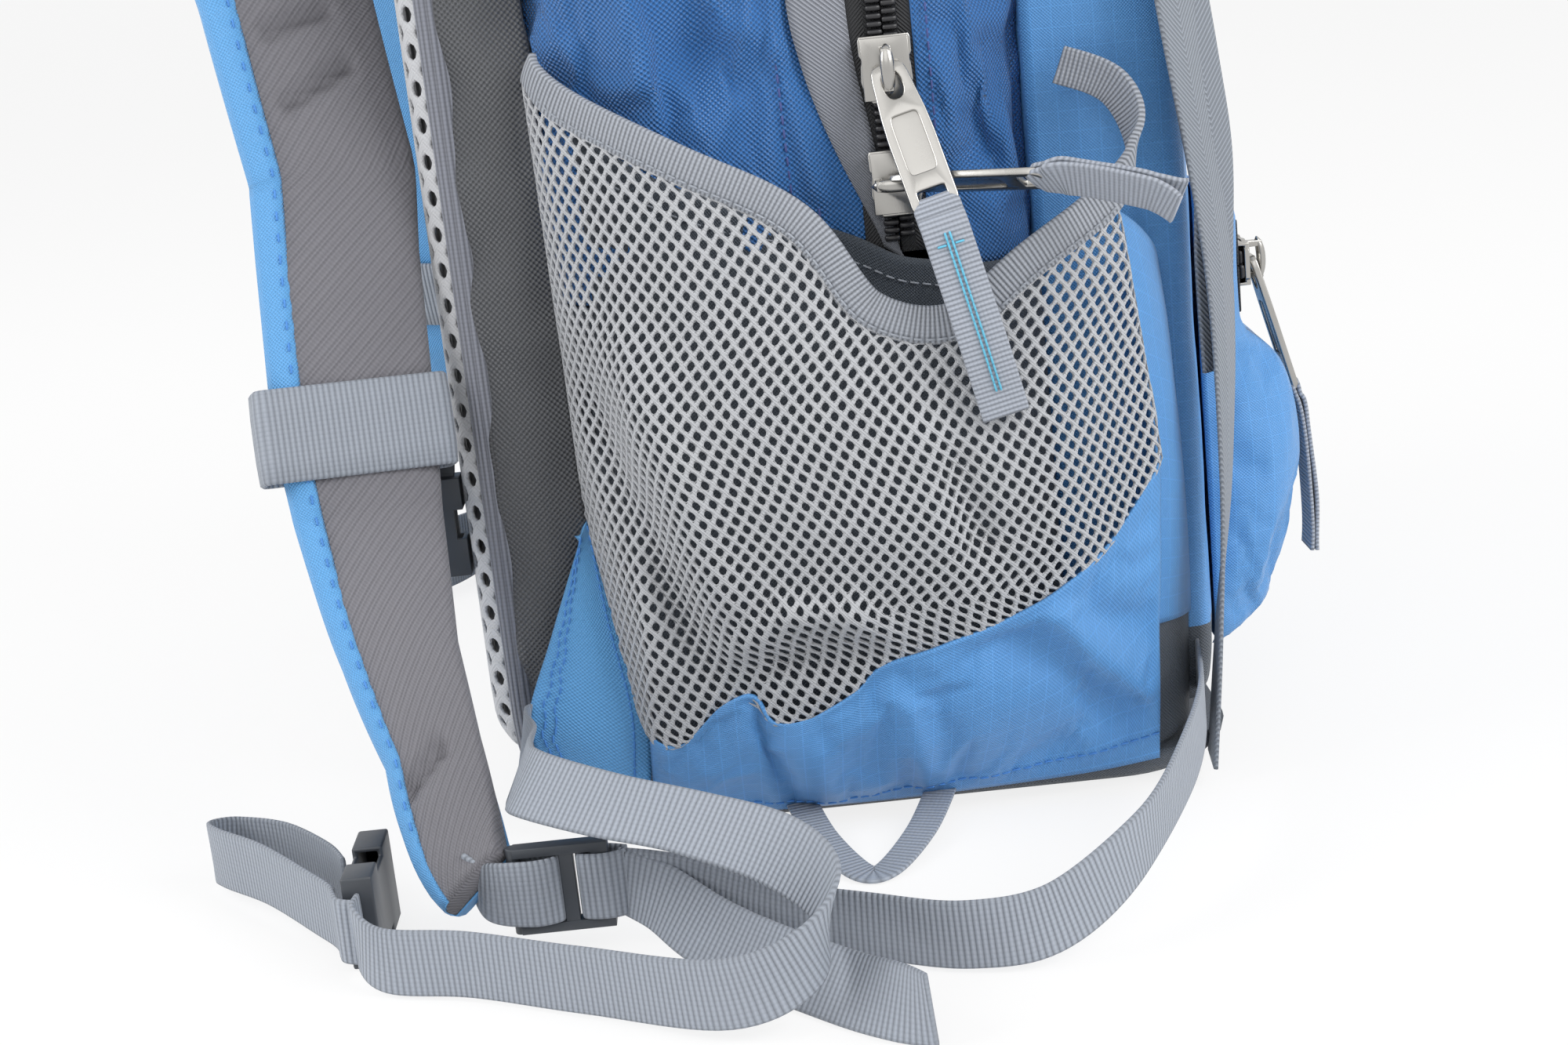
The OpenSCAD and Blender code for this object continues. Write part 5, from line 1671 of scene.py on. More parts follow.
@dataclass
class HipFin:
    """Sewn wing that carries the hip belt."""

    side: Side
    stitches: Stitcher
    front: tuple = ((-51, -147.9, 13), (-48, -149, 41), (-55, -140, 72), (-60.8, -127.2, 102))
    rear: tuple = ((-83, -148.6, 31), (-85, -148.8, 46), (-76, -140.5, 68), (-63.6, -131, 97))

    def build(self) -> None:
        """Makes the wing and its scalloped stitching."""
        rows, cols = 46, 24
        a, b = resample(spline(self.rear, 10), rows), resample(spline(self.front, 10), rows)
        w = np.linspace(0, 1, cols)[None, :]
        grid = a[:, None] + (b - a)[:, None] * w[..., None]
        grid[..., 1] -= (3.0 * np.sin(math.pi * w)
                         * np.sin(math.pi * np.linspace(0.05, 0.95, rows))[:, None])
        grid[..., 1] -= 0.9 * rumple(grid, 17, 31.0)
        settle(cloth_sheet(f"{self.side.value}_hip_fin", self.side.place(grid), 2.6, EDGE_BLUE))
        out = self.side.place(arr([[-0.2, -1, 0]]))
        t = np.linspace(0.03, 0.97, 120)
        scallop = 0.035 * np.abs(np.sin(t * math.pi * 7))
        for across in (0.1 + scallop, 0.19 + scallop, np.full(120, 0.86)):
            row = self.side.place(surface_at(grid, t, across))
            self.stitches.line("pack", BLUE_THREAD, row, out, pitch=3.0)


@dataclass
class ShoulderStrap:
    """Curved shoulder strap: a knit-faced pad in a blue cover that wraps its edges."""

    side: Side
    stitches: Stitcher
    half: float = 27.0
    dents: tuple = ((-136, 237, -119, 246, -5.5, 2.2), (-140, 259, -124, 263, -5.0, 2.2),
                    (-115, 47, -106, 55, -4.5, 2.2))
    drawn: tuple = ((15, 0, 0), (24, 1, 0), (36, 6, -2), (50, 11, -4), (75, 10, -6), (110, 6, -4),
                    (139, 3, -2), (190, 5, 0), (230, 7, 4), (268, 9, 8), (300, 8, 8), (360, 4, 4),
                    (400, 0, 0))
    over: tuple = ((-103.6, -52, 404, 0, 1, 0, 1.1), (-118, -54, 431, 0, 1, 0, 1.1),
                   (-142, -60, 422, 0.05, 1, 0, 1.1), (-157, -74, 366, 0.3, 0.95, 0, 1.06),
                   (-148, -92, 288, 0.85, 0.5, 0, 1), (-131, -112, 214, 0.95, 0.31, 0, 1))
    under: tuple = ((-127, -142, 114, 0.95, 0.31, 0, 1), (-121, -165, 79, 0.97, 0.25, 0.1, 0.95),
                    (-112, -190, 49, 0.97, 0.2, 0.2, 0.8), (-104, -207, 31, 0.88, 0.2, 0.42, 0.62),
                    (-96, -219.5, 21.5, 0.64, 0.1, 0.76, 0.46))

    def build(self) -> None:
        """Makes the pad, its cover and the edge stitching."""
        high, low = arr([self.over[-1]]), arr([self.under[0]])
        bridge = high + (low - high) * np.linspace(0.08, 0.92, 12)[:, None]
        rows = np.concatenate([spline(self.over, 12), bridge, spline(self.under, 12)])
        rows = resample(rows, 170)
        line, (_, s, u) = rows[:, :3], side_frame(rows[:, :3], rows[:, 3:6])
        heights, outer, inner = zip(*self.drawn)
        front = line[:, 0] < -200 + run_of(line) * 0.9
        near = np.where(front, np.interp(line[:, 2], heights, outer), 0.0)
        far = np.where(front, np.interp(line[:, 2], heights, inner), 0.0)
        line = line + s * ((near + far) / 2)[:, None]
        w = self.half * rows[:, 6] + (far - near) / 2
        self.pad(line, s, u, w)
        self.cover(line, s, u, w)

    def sweep(self, line: Points, s: Points, u: Points, section: Sequence, w: Points) -> Points:
        """Returns rings of a section: which edge, mm in from that edge, and height."""
        rings = []
        for edge, a, b in section:
            rings.append(line + s * (edge * w * (1 - a / self.half))[:, None] + u * b)
        return np.stack(rings, axis=1)

    def pad(self, line: Points, s: Points, u: Points, w: Points) -> None:
        """Makes the crowned foam pad with its knit face."""
        section = [(-1, 1.2, 0.2), (-1, 0.6, 2.4), (-1, 1.2, 4.6), (-1, 3.2, 6.2), (-1, 7, 7.0),
                   (-1, 13, 7.5), (-1, 20, 7.8), (1, 27, 7.9), (1, 20, 7.8), (1, 13, 7.5),
                   (1, 7, 7.0), (1, 3.2, 6.2), (1, 1.2, 4.6), (1, 0.6, 2.4), (1, 1.2, 0.2),
                   (1, 14, 0.2), (-1, 14, 0.2)]
        section = [(e, a - 0.9 if e > 0 and a < 4 else a, b) for e, a, b in section]
        rings = arr([np.concatenate([spline(row[:15], 4), row[15:]])
                     for row in self.sweep(line, s, u, section, w)])
        lift = 0.9 * rumple(rings, 24, 33.0) + 0.4 * rumple(rings, 9, 34.0)
        lift += folds(rings, self.dents)
        rings[:, 8:49] += u[:, None] * lift[:, 8:49, None]
        obj = loft_form(f"{self.side.value}_strap_pad", self.side.place(rings), STRAP_KNIT)
        settle(obj)

    def cover(self, line: Points, s: Points, u: Points, w: Points) -> None:
        """Makes the blue cover behind the pad and round its edges."""
        outer = [(-1, 8.5, 8.1), (-1, 6.5, 7.9), (-1, 3.4, 7.1), (-1, 0.6, 5.3), (-1, -0.6, 2.4),
                 (-1, -0.2, -1.2), (-1, 2.4, -3.2), (-1, 8, -3.5), (-1, 18, -3.5), (1, 18, -3.5),
                 (1, 8, -3.5), (1, 2.4, -3.2), (1, 0.6, -1.4)]
        inner = [(e, a + 1.2 if b > -1 else a, b - 0.9 if b > 4 else (0.0 if b < -1 else b))
                 for e, a, b in reversed(outer)]
        rings = self.sweep(line, s, u, outer + inner, w)
        wave = 0.35 * np.sin(run_of(line) * 2 * math.pi / 6.5)
        rings[:, :3] += (s * wave[:, None])[:, None]
        settle(loft_form(f"{self.side.value}_strap_cover", self.side.place(rings), EDGE_BLUE))
        edge = line - s * (w * (1 - 7.0 / self.half))[:, None] + u * 8.15
        self.stitches.line("pack", BLUE_THREAD, self.side.place(edge[6:-8]),
                           self.side.place(u[6:-8]), pitch=6.5)


@dataclass
class ChestBand:
    """Webbing ring on the strap and the half buckle that hangs from it."""

    side: Side
    at: tuple = (-128.0, -134.5, 139.0)
    top: tuple = (-131, -112, 214)
    low: tuple = (-127, -142, 114)
    across: tuple = (0.95, 0.31, 0.0)
    half_w: float = 28.8
    half_t: float = 7.3
    mid_u: float = 2.0
    long: float = 28.0

    def build(self) -> None:
        """Makes the ring, the tape and the buckle half."""
        t = unit(arr(self.low) - arr(self.top))
        s = unit(arr(self.across) - t * float(np.dot(self.across, t)))
        u = np.cross(t, s)
        flat, out = rounded_loop(-self.half_w, self.half_w, -self.half_t, self.half_t, r=3.0, n=120)
        line = arr(self.at) + u * self.mid_u + flat[:, :1] * s + flat[:, 1:] * u
        side_out = out[:, :1] * s + out[:, 1:] * u
        e = self.long / 2
        section = [(-0.9, -e), (-0.9, -e / 2), (-0.9, 0), (-0.9, e / 2), (-0.9, e), (0.0, e + 0.3),
                   (0.9, e - 0.4), (1.2, e / 2), (1.25, 0), (1.2, -e / 2), (0.9, -e + 0.4),
                   (0.0, -e - 0.3)]
        body, name = f"{self.side.value}_chest", f"{self.side.value}_chest_band"
        ring = ring_form(name, self.side.place(line), self.side.place(side_out), self.side.place(t),
                         section, WEBBING)
        settle(ring, body)
        node = "chest_buckle_socket" if self.side is Side.LEFT else "chest_buckle_plug"
        rear = arr(self.at) + s * 8 - u * 7.55
        route = [(rear - t * 8, s), (rear + t * 2, s), (rear + t * 16 - u * 3, s),
                 ((-113, -110, 122), (1, 0, 0)), ((-113, -110, 115.4), (1, 0, 0))]
        line, width = route_line(route, 8)
        tape = band_piece(f"{self.side.value}_chest_tape",
                          [(self.side.place(line), self.side.place(width), 20.0, 1.5)],
                          DARK_WEBBING)
        settle(tape, body)
        settle(rounded_solid(f"{self.side.value}_chest_buckle", node, PLASTIC, width=0.8,
                             lowest=True), body, [node])


@dataclass
class Harness:
    """Webbing, ladder locks and buckles of the straps and the hip belt."""

    side: Side
    width: float = 20.0
    thick: float = 1.5
    run: tuple = (((-56.8, -221, 20), UP), ((-40, -228, 19), UP), ((-15, -238, 13), UP),
                  ((12, -250, 11.2), UP), ((38, -262, 11.2), UP), ((62, -262, 14), (0.1, 0.1, 1)),
                  ((88, -243, 24), (0.2, 0.2, 1)), ((108, -205, 30), UP), ((121, -165, 32), UP),
                  ((128, -121.5, 32), UP))
    tail: tuple = (((-55.8, -222, 19.6), UP), ((-46, -228.5, 17), (0.1, 0.3, 1)),
                   ((-33, -242, 11.5), (0.3, 0.5, 0.8)), ((-18, -257, 8.8), (0.4, 0.5, 0.77)),
                   ((3, -279, 8.2), (0.42, 0.5, 0.75)), ((15, -293, 9.8), (0.3, 0.3, 0.9)),
                   ((24, -303, 11.2), UP))
    wrap: tuple = (((-54, -219.8, 20), UP), ((-60, -217.4, 20), UP), ((-66.4, -218.4, 20), UP),
                   ((-67.8, -221, 20), UP), ((-66.4, -223.6, 20), UP), ((-60, -224.6, 20), UP),
                   ((-54, -222.6, 20), UP))
    tip_wrap: tuple = (((-100, -215.5, 24), (0, -0.5, 0.86)), ((-94, -221.6, 20.5), (0, -0.15, 1)),
                       ((-83, -225, 20), UP), ((-75.4, -224, 20), UP), ((-73.6, -221, 20), UP),
                       ((-75.4, -218, 20), UP), ((-83, -217, 20), UP),
                       ((-93, -216.8, 20.5), (0, -0.15, 1)))
    belt: tuple = (((-74, -146.6, 39), UP), ((-84, -147.6, 40), UP),
                   ((-86.5, -158, 41), (0.2, 0.1, 0.97)), ((-84, -176, 43), (0.35, 0.35, 0.87)),
                   ((-84, -197, 46), (0.4, 0.45, 0.8)), ((-79, -215, 49), (0.4, 0.55, 0.73)),
                   ((-58, -231, 47), (0.3, 0.7, 0.65)), ((-34, -241, 43), (0.2, 0.75, 0.6)),
                   ((-10, -256, 38), (0.3, 0.45, 0.8)), ((1, -272, 31), (0.3, 0, 0.95)),
                   ((-6, -287, 21), (0, -0.1, 1)), ((-28, -288, 14), UP), ((-66, -265, 11.2), UP),
                   ((-98, -248, 11.2), UP), ((-122, -240, 11.2), UP), ((-131, -230, 14), UP),
                   ((-131, -221.4, 14.6), UP))
    belt_end: tuple = ((-132, -225.5, 14.2), (-137, -223, 14.4), (-140, -214, 14.6),
                       (-148, -203, 15), (-166, -180, 16), (-183, -161, 15), (-188, -149, 13),
                       (-180, -143, 11.2), (-164, -152, 11.2), (-148, -172, 11.2),
                       (-141, -186, 11.2))

    def strip(self, route: Sequence) -> tuple:
        """Returns a route as the arguments of a band on this side."""
        line, width = route_line(route)
        return self.side.place(line), self.side.place(width), self.width, self.thick

    def build(self) -> None:
        """Makes the webbing and the hardware of one side."""
        label = self.side.value
        settle(band_piece(f"{label}_strap_webbing",
                          [self.strip(r) for r in (self.run, self.tail, self.tip_wrap)], WEBBING))
        settle(band_piece(f"{label}_lock_wrap", [self.strip(self.wrap)], WEBBING), f"{label}_lock")
        lock = rounded_solid(f"{label}_ladder_lock", f"{label}_ladder_lock", PLASTIC, width=0.9)
        settle(lock, f"{label}_lock")
        belts = [self.strip(self.belt), self.strip([(p, UP) for p in self.belt_end])]
        settle(band_piece(f"{label}_belt_webbing", belts, WEBBING))
        node = "belt_buckle_socket" if self.side is Side.LEFT else "belt_buckle_plug"
        settle(rounded_solid(node, node, PLASTIC, width=1.0))


@dataclass
class OuterLoops:
    """Lash straps with their locks, the haul loop and the gear loops."""

    pull: tuple = (((60, -147.2, 300), UP), ((78, -147.4, 300), UP), ((92, -140.7, 300), UP),
                   ((104.8, -131.4, 300), UP))
    hang: tuple = (((124, -135.2, 306), (0.6, 0, 1)), ((127, -136.6, 280), (0.8, 0.55, 0.2)),
                   ((130, -137.9, 240), (0.68, 0.74, 0)), ((138, -139.4, 165), (0.55, 0.83, 0)),
                   ((137, -140.4, 100), (0.35, 0.93, 0)), ((132, -141.6, 50), (0.15, 1, 0)),
                   ((127.5, -142, 6), (0.1, 1, 0)))
    back: tuple = (((130, -128.6, 300), (0.9, 0.4, 0)), ((133, -130, 262), (0.85, 0.5, 0)),
                   ((137, -132, 225), (0.85, 0.5, 0)), ((139.5, -133, 196), (0.85, 0.5, 0)),
                   ((138, -134, 165), (0.85, 0.5, 0)), ((137, -135, 130), (0.7, 0.7, 0)))
    foot: tuple = ((-42, 440.5), (-43, 455), (-35, 476), (-16, 488))
    gear: tuple = (((-4, -145.4, 8), (1, 0, 0)), ((2, -170, 4.5), (0.92, 0.39, 0)),
                   ((12, -191, 1.4), (0.6, 0.8, 0)), ((20, -191, 1.4), (-0.4, 0.9, 0)),
                   ((32, -171, 4.5), (-0.85, 0.5, 0)), ((41, -145.4, 8), (-1, 0, 0)))

    def build(self) -> None:
        """Makes the loops of both sides."""
        gear = []
        for side in Side:
            bands = []
            for route, wide in ((self.pull, 20.0), (self.hang, 20.0), (self.back, 15.0)):
                line, width = route_line(route, 14)
                bands.append((side.place(line), side.place(width), wide, 1.5))
            settle(band_piece(f"{side.value}_lash_strap", bands, TWILL_WEBBING))
            line, width = route_line(self.gear)
            gear.append((side.place(line), side.place(width), 10.0, 1.2))
        settle(band_piece("gear_loops", gear, WEBBING))
        settle(rounded_solid("lash_locks", "lash_locks", PLASTIC, width=0.9))
        half = [(-74.3, y, z) for y, z in self.foot]
        line = spline(half + [(x, -y, z) for x, y, z in reversed(half)], 12)
        settle(band_piece("haul_loop", [(line, facing(FORWARD, line), 20.0, 2.0)], WEBBING))


@dataclass
class MainZip:
    """Arched zip: tapes, teeth and the grosgrain beside them."""

    form: BagForm
    stitches: Stitcher
    scatter: NodeGroup
    tooth: bpy.types.Object
    low: float = 182.0
    split: float = 331.6
    tape_w: float = 16.0
    inner: float = 0.2
    strip_left: tuple = ((38, 180), (36, 186), (28, 205), (22, 222), (18, 238), (16, 254),
                         (16, 290), (17, 331))
    strip_right: tuple = ((44, 176), (42, 182), (39, 203), (36, 222), (34, 235), (33, 252),
                          (33, 290), (33, 331))

    def arch(self, o: float) -> tuple[Points, Points, Points]:
        """Returns the zip line at a height above the cloth, its width and outward directions."""
        f = self.form
        half = [(f.x_zip, -f.half_w, self.split + 0.6), (f.x_zip, -f.half_w, 360)]
        for a in np.radians((0, 12, 24, 36, 48, 60, 72, 82)):
            z = f.shoulder + (f.top - f.shoulder) * math.sin(a)
            half.append((f.zip_x(z), -f.half(z), z))
        half += [(f.x_ridge + 1, -f.ridge_half + 14, f.top), (f.x_ridge, -f.ridge_half + 40, f.top)]
        line = spline(half + [(x, -y, z) for x, y, z in reversed(half)], 6)
        _, s, u = side_frame(line, facing(FORWARD, line))
        return line - u * o, s, -u

    def build(self) -> None:
        """Makes the straight stretches on both sides and the arch over the top."""
        tape_mid = self.inner + self.tape_w / 2
        tapes = []
        for side in Side:
            line = arr([(self.form.x_zip, -self.form.half_w - 0.6, z)
                        for z in np.linspace(self.low - 4, self.split - 0.3, 40)])
            for off, wide in ((-5.2, 10.0), (4.6, 8.8)):
                tapes.append((side.place(line + arr([off, 0, 0])), facing(FORWARD, line), wide,
                              0.8))
        line, s, _ = self.arch(1.2)
        tapes.append((line - s * tape_mid, s, self.tape_w, 0.8))
        front = (line + s * tape_mid, s, self.tape_w, 0.8)
        settle(band_piece("main_zip_tape", tapes, ZIP_TAPE))
        settle(band_piece("flap_zip_tape", [front], ZIP_TAPE), "top_flap")
        self.teeth()
        for side in Side:
            self.grosgrain(side)

    def teeth(self) -> None:
        """Sets out the teeth of both halves."""
        rows = []
        for side in Side:
            z = np.arange(self.low, self.split - 1, TOOTH_PITCH)
            for k in (-1, 1):
                place = np.stack([np.full(len(z), self.form.x_zip + k * GAUGE),
                                  np.full(len(z), -self.form.half_w - 2.3),
                                  z + (0.5 + 0.25 * k) * TOOTH_PITCH], axis=1)
                rows.append((side.place(place), facing(FORWARD, place),
                             np.broadcast_to(side.place(arr([[0, -1.0, 0]])), place.shape)))
        line, s, out = self.arch(3.2)
        steps = int(np.linalg.norm(np.diff(line, axis=0), axis=1).sum() / TOOTH_PITCH)
        both = resample(np.concatenate([line, s, out], axis=1), steps)
        rear = (both[:, :3] - both[:, 3:6] * GAUGE, both[:, 3:6], both[:, 6:])
        front = (both[:, :3] + both[:, 3:6] * GAUGE, both[:, 3:6], both[:, 6:])
        for name, body, parts in (("main_zip_chain", "pack", rows + [rear]),
                                  ("flap_zip_chain", "top_flap", [front])):
            places, along, up = (np.concatenate([p[k] for p in parts]) for k in range(3))
            cloud = point_cloud(name, places, along, up)
            settle(self.scatter.apply(cloud, Shape=self.tooth, Size=1.0, Finish=COIL.material()),
                   body)

    def grosgrain(self, side: Side) -> None:
        """Makes the ribbed strip behind the zip and the plum stitching beside it."""
        left, right = (resample(spline(p, 8), 90) for p in (self.strip_left, self.strip_right))
        w = np.linspace(0, 1, 8)[None, :, None]
        flat = left[:, None] + (right - left)[:, None] * w
        y = -self.form.half_w - 1.3 - 0.8 * np.sin(math.pi * w[..., 0])
        grid = np.stack([flat[..., 0], np.broadcast_to(y, flat.shape[:2]), flat[..., 1]], axis=2)
        settle(cloth_sheet(f"{side.value}_zip_grosgrain", side.place(grid), 0.8, GROSGRAIN))
        out = side.place(arr([[0, -1.0, 0]]))
        for x in (12.4, 20.0):
            line = arr([(x - 0.02 * (z - 190), -self.form.half_w - 1.4, z)
                        for z in np.linspace(192, 236 if x < 15 else 206, 16)])
            self.stitches.line("pack", PLUM_THREAD, side.place(line), out, pitch=3.6)
        line = arr([(56.0, -self.form.half_w - 1.2, z) for z in np.linspace(196, 330, 40)])
        self.stitches.line("pack", PLUM_THREAD, side.place(line), out, pitch=3.6)


@dataclass
class BellyZip:
    """Level zip across the belly pocket."""

    scatter: NodeGroup
    tooth: bpy.types.Object
    x: float = 154.6
    z: float = 152.0
    half: float = 83.0

    def build(self) -> None:
        """Makes the tapes and the teeth."""
        line = arr([(self.x + 1.0, y, self.z) for y in np.linspace(-self.half, self.half, 60)])
        tapes = [(line + arr([0, 0, k * 7.7]), facing(UP, line), 15.0, 0.8) for k in (-1, 1)]
        settle(band_piece("belly_zip_tape", tapes, ZIP_TAPE), "pack", ["belly_zip"])
        y = np.arange(-self.half + 1, self.half - 1, TOOTH_PITCH)
        parts = []
        for k in (-1, 1):
            place = np.stack([np.full(len(y), self.x + 2.3), y + (0.5 + 0.25 * k) * TOOTH_PITCH,
                              np.full(len(y), self.z + k * GAUGE)], axis=1)
            parts.append(place)
        places = np.concatenate(parts)
        cloud = point_cloud("belly_zip_teeth", places, facing(UP, places), facing(FORWARD, places))
        settle(self.scatter.apply(cloud, Shape=self.tooth, Size=1.0, Finish=COIL.material()))


def plate_mesh(name: str, loops: Sequence, half_thick: float, edge: float) -> bpy.types.Mesh:
    """Flat plate with holes and rounded edges.

    Args:
        name: the mesh's name.
        loops: outline and holes, lists of pairs in mm.
        half_thick: half its thickness in mm.
        edge: width of its edge rounding in mm.

    Returns:
        The mesh, lying on the first two axes.
    """
    curve = bpy.data.curves.new(name, "CURVE")
    curve.dimensions, curve.fill_mode = "2D", "BOTH"
    curve.extrude, curve.bevel_depth = (half_thick - edge) * MM, edge * MM
    curve.bevel_resolution = 2
    for loop in loops:
        line = curve.splines.new("POLY")
        line.points.add(len(loop) - 1)
        line.use_cyclic_u = True
        for point, (x, y) in zip(line.points, loop):
            point.co = (x * MM, y * MM, 0, 1)
    obj = linked(name, curve)
    bpy.context.view_layer.update()
    mesh = bpy.data.meshes.new_from_object(obj.evaluated_get(bpy.context.evaluated_depsgraph_get()))
    bpy.data.objects.remove(obj)
    with edited(mesh) as bm:
        bmesh.ops.remove_doubles(bm, verts=bm.verts, dist=1e-6)
    return mesh


def oval(x: float, y: float, rx: float, ry: float, power: float = 2.0, n: int = 40) -> list:
    """Returns a closed oval, squarer at a higher power."""
    rows = []
    for a in np.arange(n) * 2 * math.pi / n:
        c, s = math.cos(a), math.sin(a)
        rows.append((x + rx * math.copysign(abs(c) ** (2 / power), c),
                     y + ry * math.copysign(abs(s) ** (2 / power), s)))
    return rows


@dataclass
class ZipPull:
    """Slider, metal tab and folded webbing puller of one zip."""

    name: str
    centre: tuple
    chain: tuple
    out: tuple
    bridge: tuple
    pivot: tuple
    way: tuple
    cross: tuple
    bend: tuple
    across: tuple
    stitches: Stitcher
    splay: float = 0.0
    bartack: bool = False
    long: float = 46.0

    def build(self) -> None:
        """Makes the three pieces."""
        self.slider()
        self.tab()
        self.puller()

    def placed(self, meshes: Sequence[bpy.types.Mesh], at: Points, x: Points, y: Points,
               name: str) -> bpy.types.Object:
        """Returns a metal piece of flat plates, laid on two directions at a point in mm."""
        bm = bmesh.new()
        for mesh in meshes:
            bm.from_mesh(mesh)
        z = np.cross(x, y)
        for v in bm.verts:
            v.co = Vector((at * MM + x * v.co.x + y * v.co.y + z * v.co.z).tolist())
        mesh = bpy.data.meshes.new(name)
        bm.to_mesh(mesh)
        bm.free()
        mesh.materials.clear()
        mesh.materials.append(METAL.material())
        obj = link_mesh(name, mesh)
        obj.data.set_sharp_from_angle(angle=math.radians(40))
        return obj

    def slider(self) -> None:
        """Makes the slider body with its waisted cap and the round bridge."""
        node = f"{self.name}_slider"
        settle(rounded_solid(node, node, METAL, width=0.6), node)
        edge = [(6.9, 9.2), (7.3, 8.4), (7.3, 4.4), (6.5, 3.0), (6.9, 1.0), (7.2, -3.2),
                (6.2, -7.6), (4.4, -9.3)]
        outline = edge + [(-x, y) for x, y in reversed(edge)]
        y, z = arr(self.chain), arr(self.out)
        cap = self.placed([plate_mesh("cap", [outline], half_thick=0.9, edge=0.4)],
                          arr(self.centre) + z * 4.4, np.cross(y, z), y, f"{self.name}_slider_cap")
        settle(cap, node)
        b, rings = arr(self.bridge), []
        flat = np.cross(b, z)
        for t in np.linspace(-1, 1, 15):
            r = max(0.15, math.sqrt(max(0.0, 1 - abs(t) ** 3)))
            mid = arr(self.centre) + b * t * 7.4 + z * (9.8 + 1.2 * (1 - t * t))
            rings.append([mid + flat * 2.1 * r * math.cos(a) + z * 1.5 * r * math.sin(a)
                          for a in np.arange(14) * 2 * math.pi / 14])
        settle(loft_form(f"{self.name}_slider_bridge", arr(rings), METAL), node)

    def tab(self) -> None:
        """Makes the tapered tab with its eye, bare recessed window and slot."""
        edge = [(2.6, 1.0), (3.9, 0.5), (4.6, -0.8), (5.0, -3), (5.6, -9), (6.2, -15), (6.5, -22),
                (6.5, -42.6), (6.2, -44.6), (5.2, -45.7), (3.8, -46)]
        outline = edge + [(-x, y) for x, y in reversed(edge)]
        eye, slot = oval(0, -5.6, 3.2, 4.8, 2.4), oval(0, -40.6, 4.6, 2.4, 6)
        window = oval(0, -24.2, 4.5, 9.8, 7)
        plates = [plate_mesh("tab", [outline, eye, window, slot], half_thick=1.1, edge=0.45),
                  plate_mesh("bare", [oval(0, -24.2, 4.8, 10.1, 7)], half_thick=0.5, edge=0.1)]
        node = f"{self.name}_pull_tab"
        obj = self.placed(plates, arr(self.pivot), unit(arr(self.cross)), -unit(arr(self.way)),
                          node)
        settle(obj, f"{self.name}_pull")

    def puller(self) -> None:
        """Makes the webbing folded through the slot of the tab."""
        d, bend = unit(arr(self.way)), arr(self.bend)
        p1 = arr(self.pivot) + d * (self.long + 8)
        line = spline([arr(self.pivot) + d * 42.4, arr(self.pivot) + d * 47.0, p1,
                       p1 + bend * 0.5 + d * 5, p1 + bend], 10)
        far = np.linspace(0, 1, len(line))[:, None]
        turn = np.clip(far * 2.2, 0, 1)
        wide = unit(unit(arr(self.cross)) * (1 - turn) + unit(arr(self.across)) * turn)
        _, _, u = side_frame(line, wide)
        gap = (1.0 - 0.15 * np.clip(far * 3, 0, 1)
               + 0.35 * np.sin(far * 19) * np.clip(far * 3, 0, 1) * 0.4
               + self.splay * np.clip(far - 0.8, 0, 1) * 8)
        width = 9.4 + 4.4 * np.clip(far[:, 0] * 9, 0, 1)
        nose = spline([line[2] + u[2] * gap[2], line[0] + u[0] * 0.9, line[0] - d * 0.9,
                       line[0] - u[0] * 0.9, line[2] - u[2] * gap[2]], 5)
        layers = [(line[1:] + (u * gap)[1:], wide[1:], width[1:], 1.35),
                  (line[1:] - (u * gap)[1:], wide[1:], width[1:], 1.35),
                  (nose, np.broadcast_to(wide[0], nose.shape), 9.3, 1.3)]
        settle(band_piece(f"{self.name}_puller", layers, PULL_WEBBING), f"{self.name}_pull")
        if self.bartack:
            for k in (-1, 1):
                rows = np.arange(20, 36)
                face = (line + u * k * (gap + 0.85))[rows]
                for off in (-0.7, 0.7):
                    self.stitches.line(f"{self.name}_pull", AQUA_THREAD, face + wide[rows] * off,
                                       u[rows] * k, pitch=2.4)
                mid = 21
                row = (line[mid] + wide[mid] * np.linspace(-2.6, 2.6, 8)[:, None]
                       + u[mid] * k * (gap[mid] + 0.9))
                self.stitches.line(f"{self.name}_pull", AQUA_THREAD, row, u[mid:mid + 1] * k,
                                   pitch=2.0)


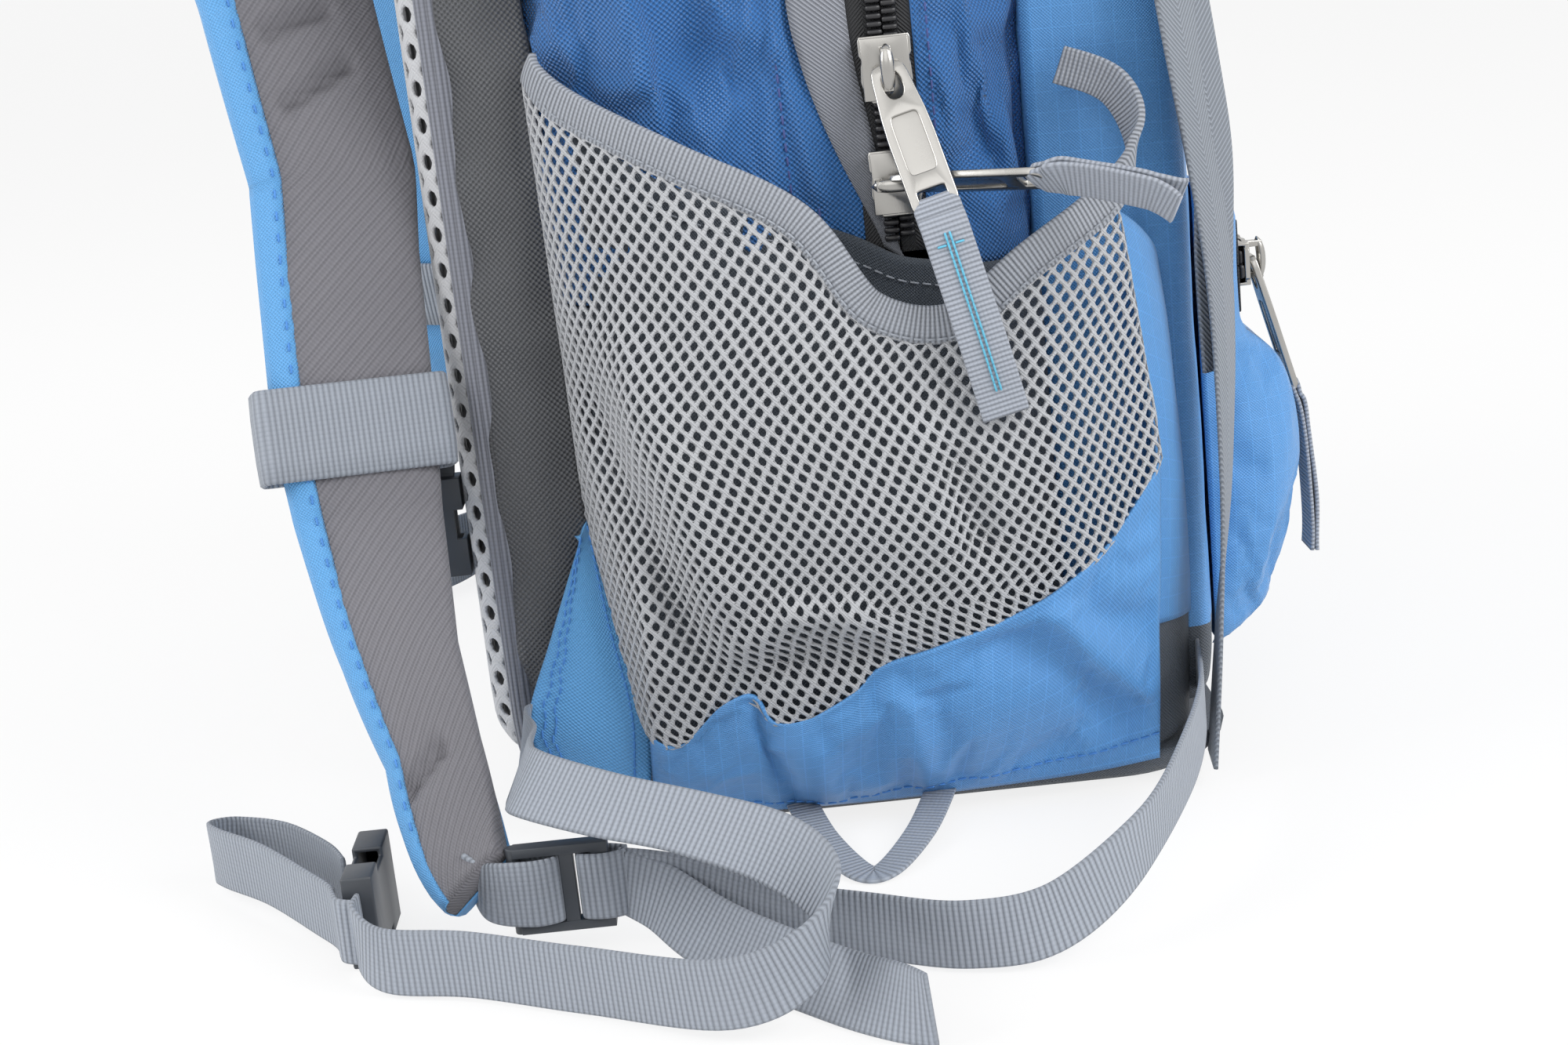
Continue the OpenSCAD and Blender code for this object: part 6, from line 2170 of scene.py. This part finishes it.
@dataclass
class Stage:
    """Pale floor, soft light and the camera."""

    target: tuple = (0.0, -0.150, 0.100)
    distance: float = 0.714
    pitch: float = 15.0
    roll: float = 6.0
    lens: float = 54.0
    glow: float = 0.82
    sky_levels: tuple = (0.6, 1.0)

    def build(self) -> None:
        """Sets the view, the floor, the sky and the lamps."""
        scene = bpy.context.scene
        scene.view_settings.view_transform = "Standard"
        self.camera(scene)
        self.floor()
        self.sky(scene)
        self.lamp("left", (-1.7, -0.5, 1.2), (0, -0.1, 0.15), size=1.2, power=22)
        self.lamp("right", (1.5, -1.1, 1.3), (0, -0.1, 0.15), size=1.2, power=28)
        self.lamp("front", (-0.3, -2.0, 1.5), (0, 0, 0.15), size=1.6, power=8)

    def camera(self, scene: bpy.types.Scene) -> None:
        """Makes the camera at the photograph's angle."""
        a, r = math.radians(self.pitch), math.radians(self.roll)
        forward, rise = arr([0, math.cos(a), -math.sin(a)]), arr([0, math.sin(a), math.cos(a)])
        right = arr(FORWARD)
        x, y = math.cos(r) * right - math.sin(r) * rise, math.sin(r) * right + math.cos(r) * rise
        data = bpy.data.cameras.new("view")
        data.lens, data.sensor_width, data.clip_start = self.lens, 36.0, 0.01
        obj = linked("view", data)
        place = arr(self.target) - forward * self.distance
        obj.matrix_world = Matrix([[x[k], y[k], -forward[k], place[k]] for k in range(3)]
                                  + [[0, 0, 0, 1]])
        scene.camera = obj

    def floor(self) -> None:
        """Makes the floor, white to the camera but for the shadow."""
        mesh = bpy.data.meshes.new("floor")
        mesh.from_pydata([(-40, -40, 0), (40, -40, 0), (40, 40, 0), (-40, 40, 0)], [],
                         [(0, 1, 2, 3)])
        tree = ShaderTree("pale_floor")
        tree.set(Base_Color=(0.9, 0.9, 0.9, 1), Roughness=0.9)
        glow = tree.add("ShaderNodeEmission")
        both = tree.add("ShaderNodeMixShader")
        tree.feed(both.inputs[0], tree.math("MULTIPLY", tree.seen(), self.glow))
        tree.link(tree.shader.outputs[0], both.inputs[1])
        tree.link(glow.outputs[0], both.inputs[2])
        tree.link(both.outputs[0], tree.out.inputs[0])
        mesh.materials.append(tree.material)
        linked("floor", mesh)

    def sky(self, scene: bpy.types.Scene) -> None:
        """Makes the sky white where it is seen and softer where it lights."""
        world = bpy.data.worlds.new("studio")
        scene.world = world
        kit = NodeKit(world)
        out, back = kit.add("ShaderNodeOutputWorld"), kit.add("ShaderNodeBackground")
        level = kit.add("ShaderNodeMapRange")
        kit.link(kit.seen(), level.inputs[0])
        level.inputs[3].default_value, level.inputs[4].default_value = self.sky_levels
        back.inputs[0].default_value = (1, 1, 1, 1)
        kit.link(level.outputs[0], back.inputs[1])
        kit.link(back.outputs[0], out.inputs[0])

    def lamp(self, name: str, place: Sequence[float], at: Sequence[float], size: float,
             power: float) -> None:
        """Makes a square area lamp that faces a point."""
        data = bpy.data.lights.new(name, "AREA")
        data.size, data.energy = size, power
        obj = linked(name, data)
        obj.location = place
        obj.rotation_euler = (Vector(at) - Vector(place)).to_track_quat("-Z", "Y").to_euler()


def main() -> None:
    """Builds the pack piece by piece."""
    logging.basicConfig(level=logging.INFO, format="%(name)s: %(message)s")
    Stage().build()
    scatter, lattice = scatter_tree(), lattice_tree()
    stitches = Stitcher()
    form = BagForm()
    tooth = capsule("tooth", length=4.6, radius=0.95, bend=0.35)
    BagShell(form, stitches).build()
    FrontPockets().build()
    BackPanel(lattice).build()
    for side in Side:
        SidePocket(side, stitches, lattice).build()
        HipFin(side, stitches).build()
        ShoulderStrap(side, stitches).build()
        ChestBand(side).build()
        Harness(side).build()
    OuterLoops().build()
    MainZip(form, stitches, scatter, tooth).build()
    BellyZip(scatter, tooth).build()
    ZipPull("upper", centre=(43, -146, 232), chain=UP, out=(0, -1, 0), bridge=UP,
            pivot=(43, -153.6, 232), way=(0.2136, -0.4695, -0.8567), cross=(0.9703, 0, 0.2419),
            bend=(12, -4, -52), across=(1, 0, 0.2), stitches=stitches, bartack=True).build()
    ZipPull("lower", centre=(43, -146, 199), chain=UP, out=(0, -1, 0), bridge=(1, 0, 0),
            pivot=(43, -153.6, 199), way=(0.8829, -0.4695, 0), cross=(-0.42, -0.79, 0.45),
            bend=(28, -9, -9), across=(0, -0.7, 0.71), stitches=stitches, splay=1.2).build()
    ZipPull("belly", centre=(154.6, -72, 152), chain=(0, 1, 0), out=(1, 0, 0), bridge=UP,
            pivot=(162.2, -72, 152), way=(0.2588, 0, -0.9659), cross=(0, 1, 0), bend=(1.5, 0, -48),
            across=(0, 1, 0), stitches=stitches).build()
    stitches.sew(scatter)


if __name__ == "__main__":
    main()
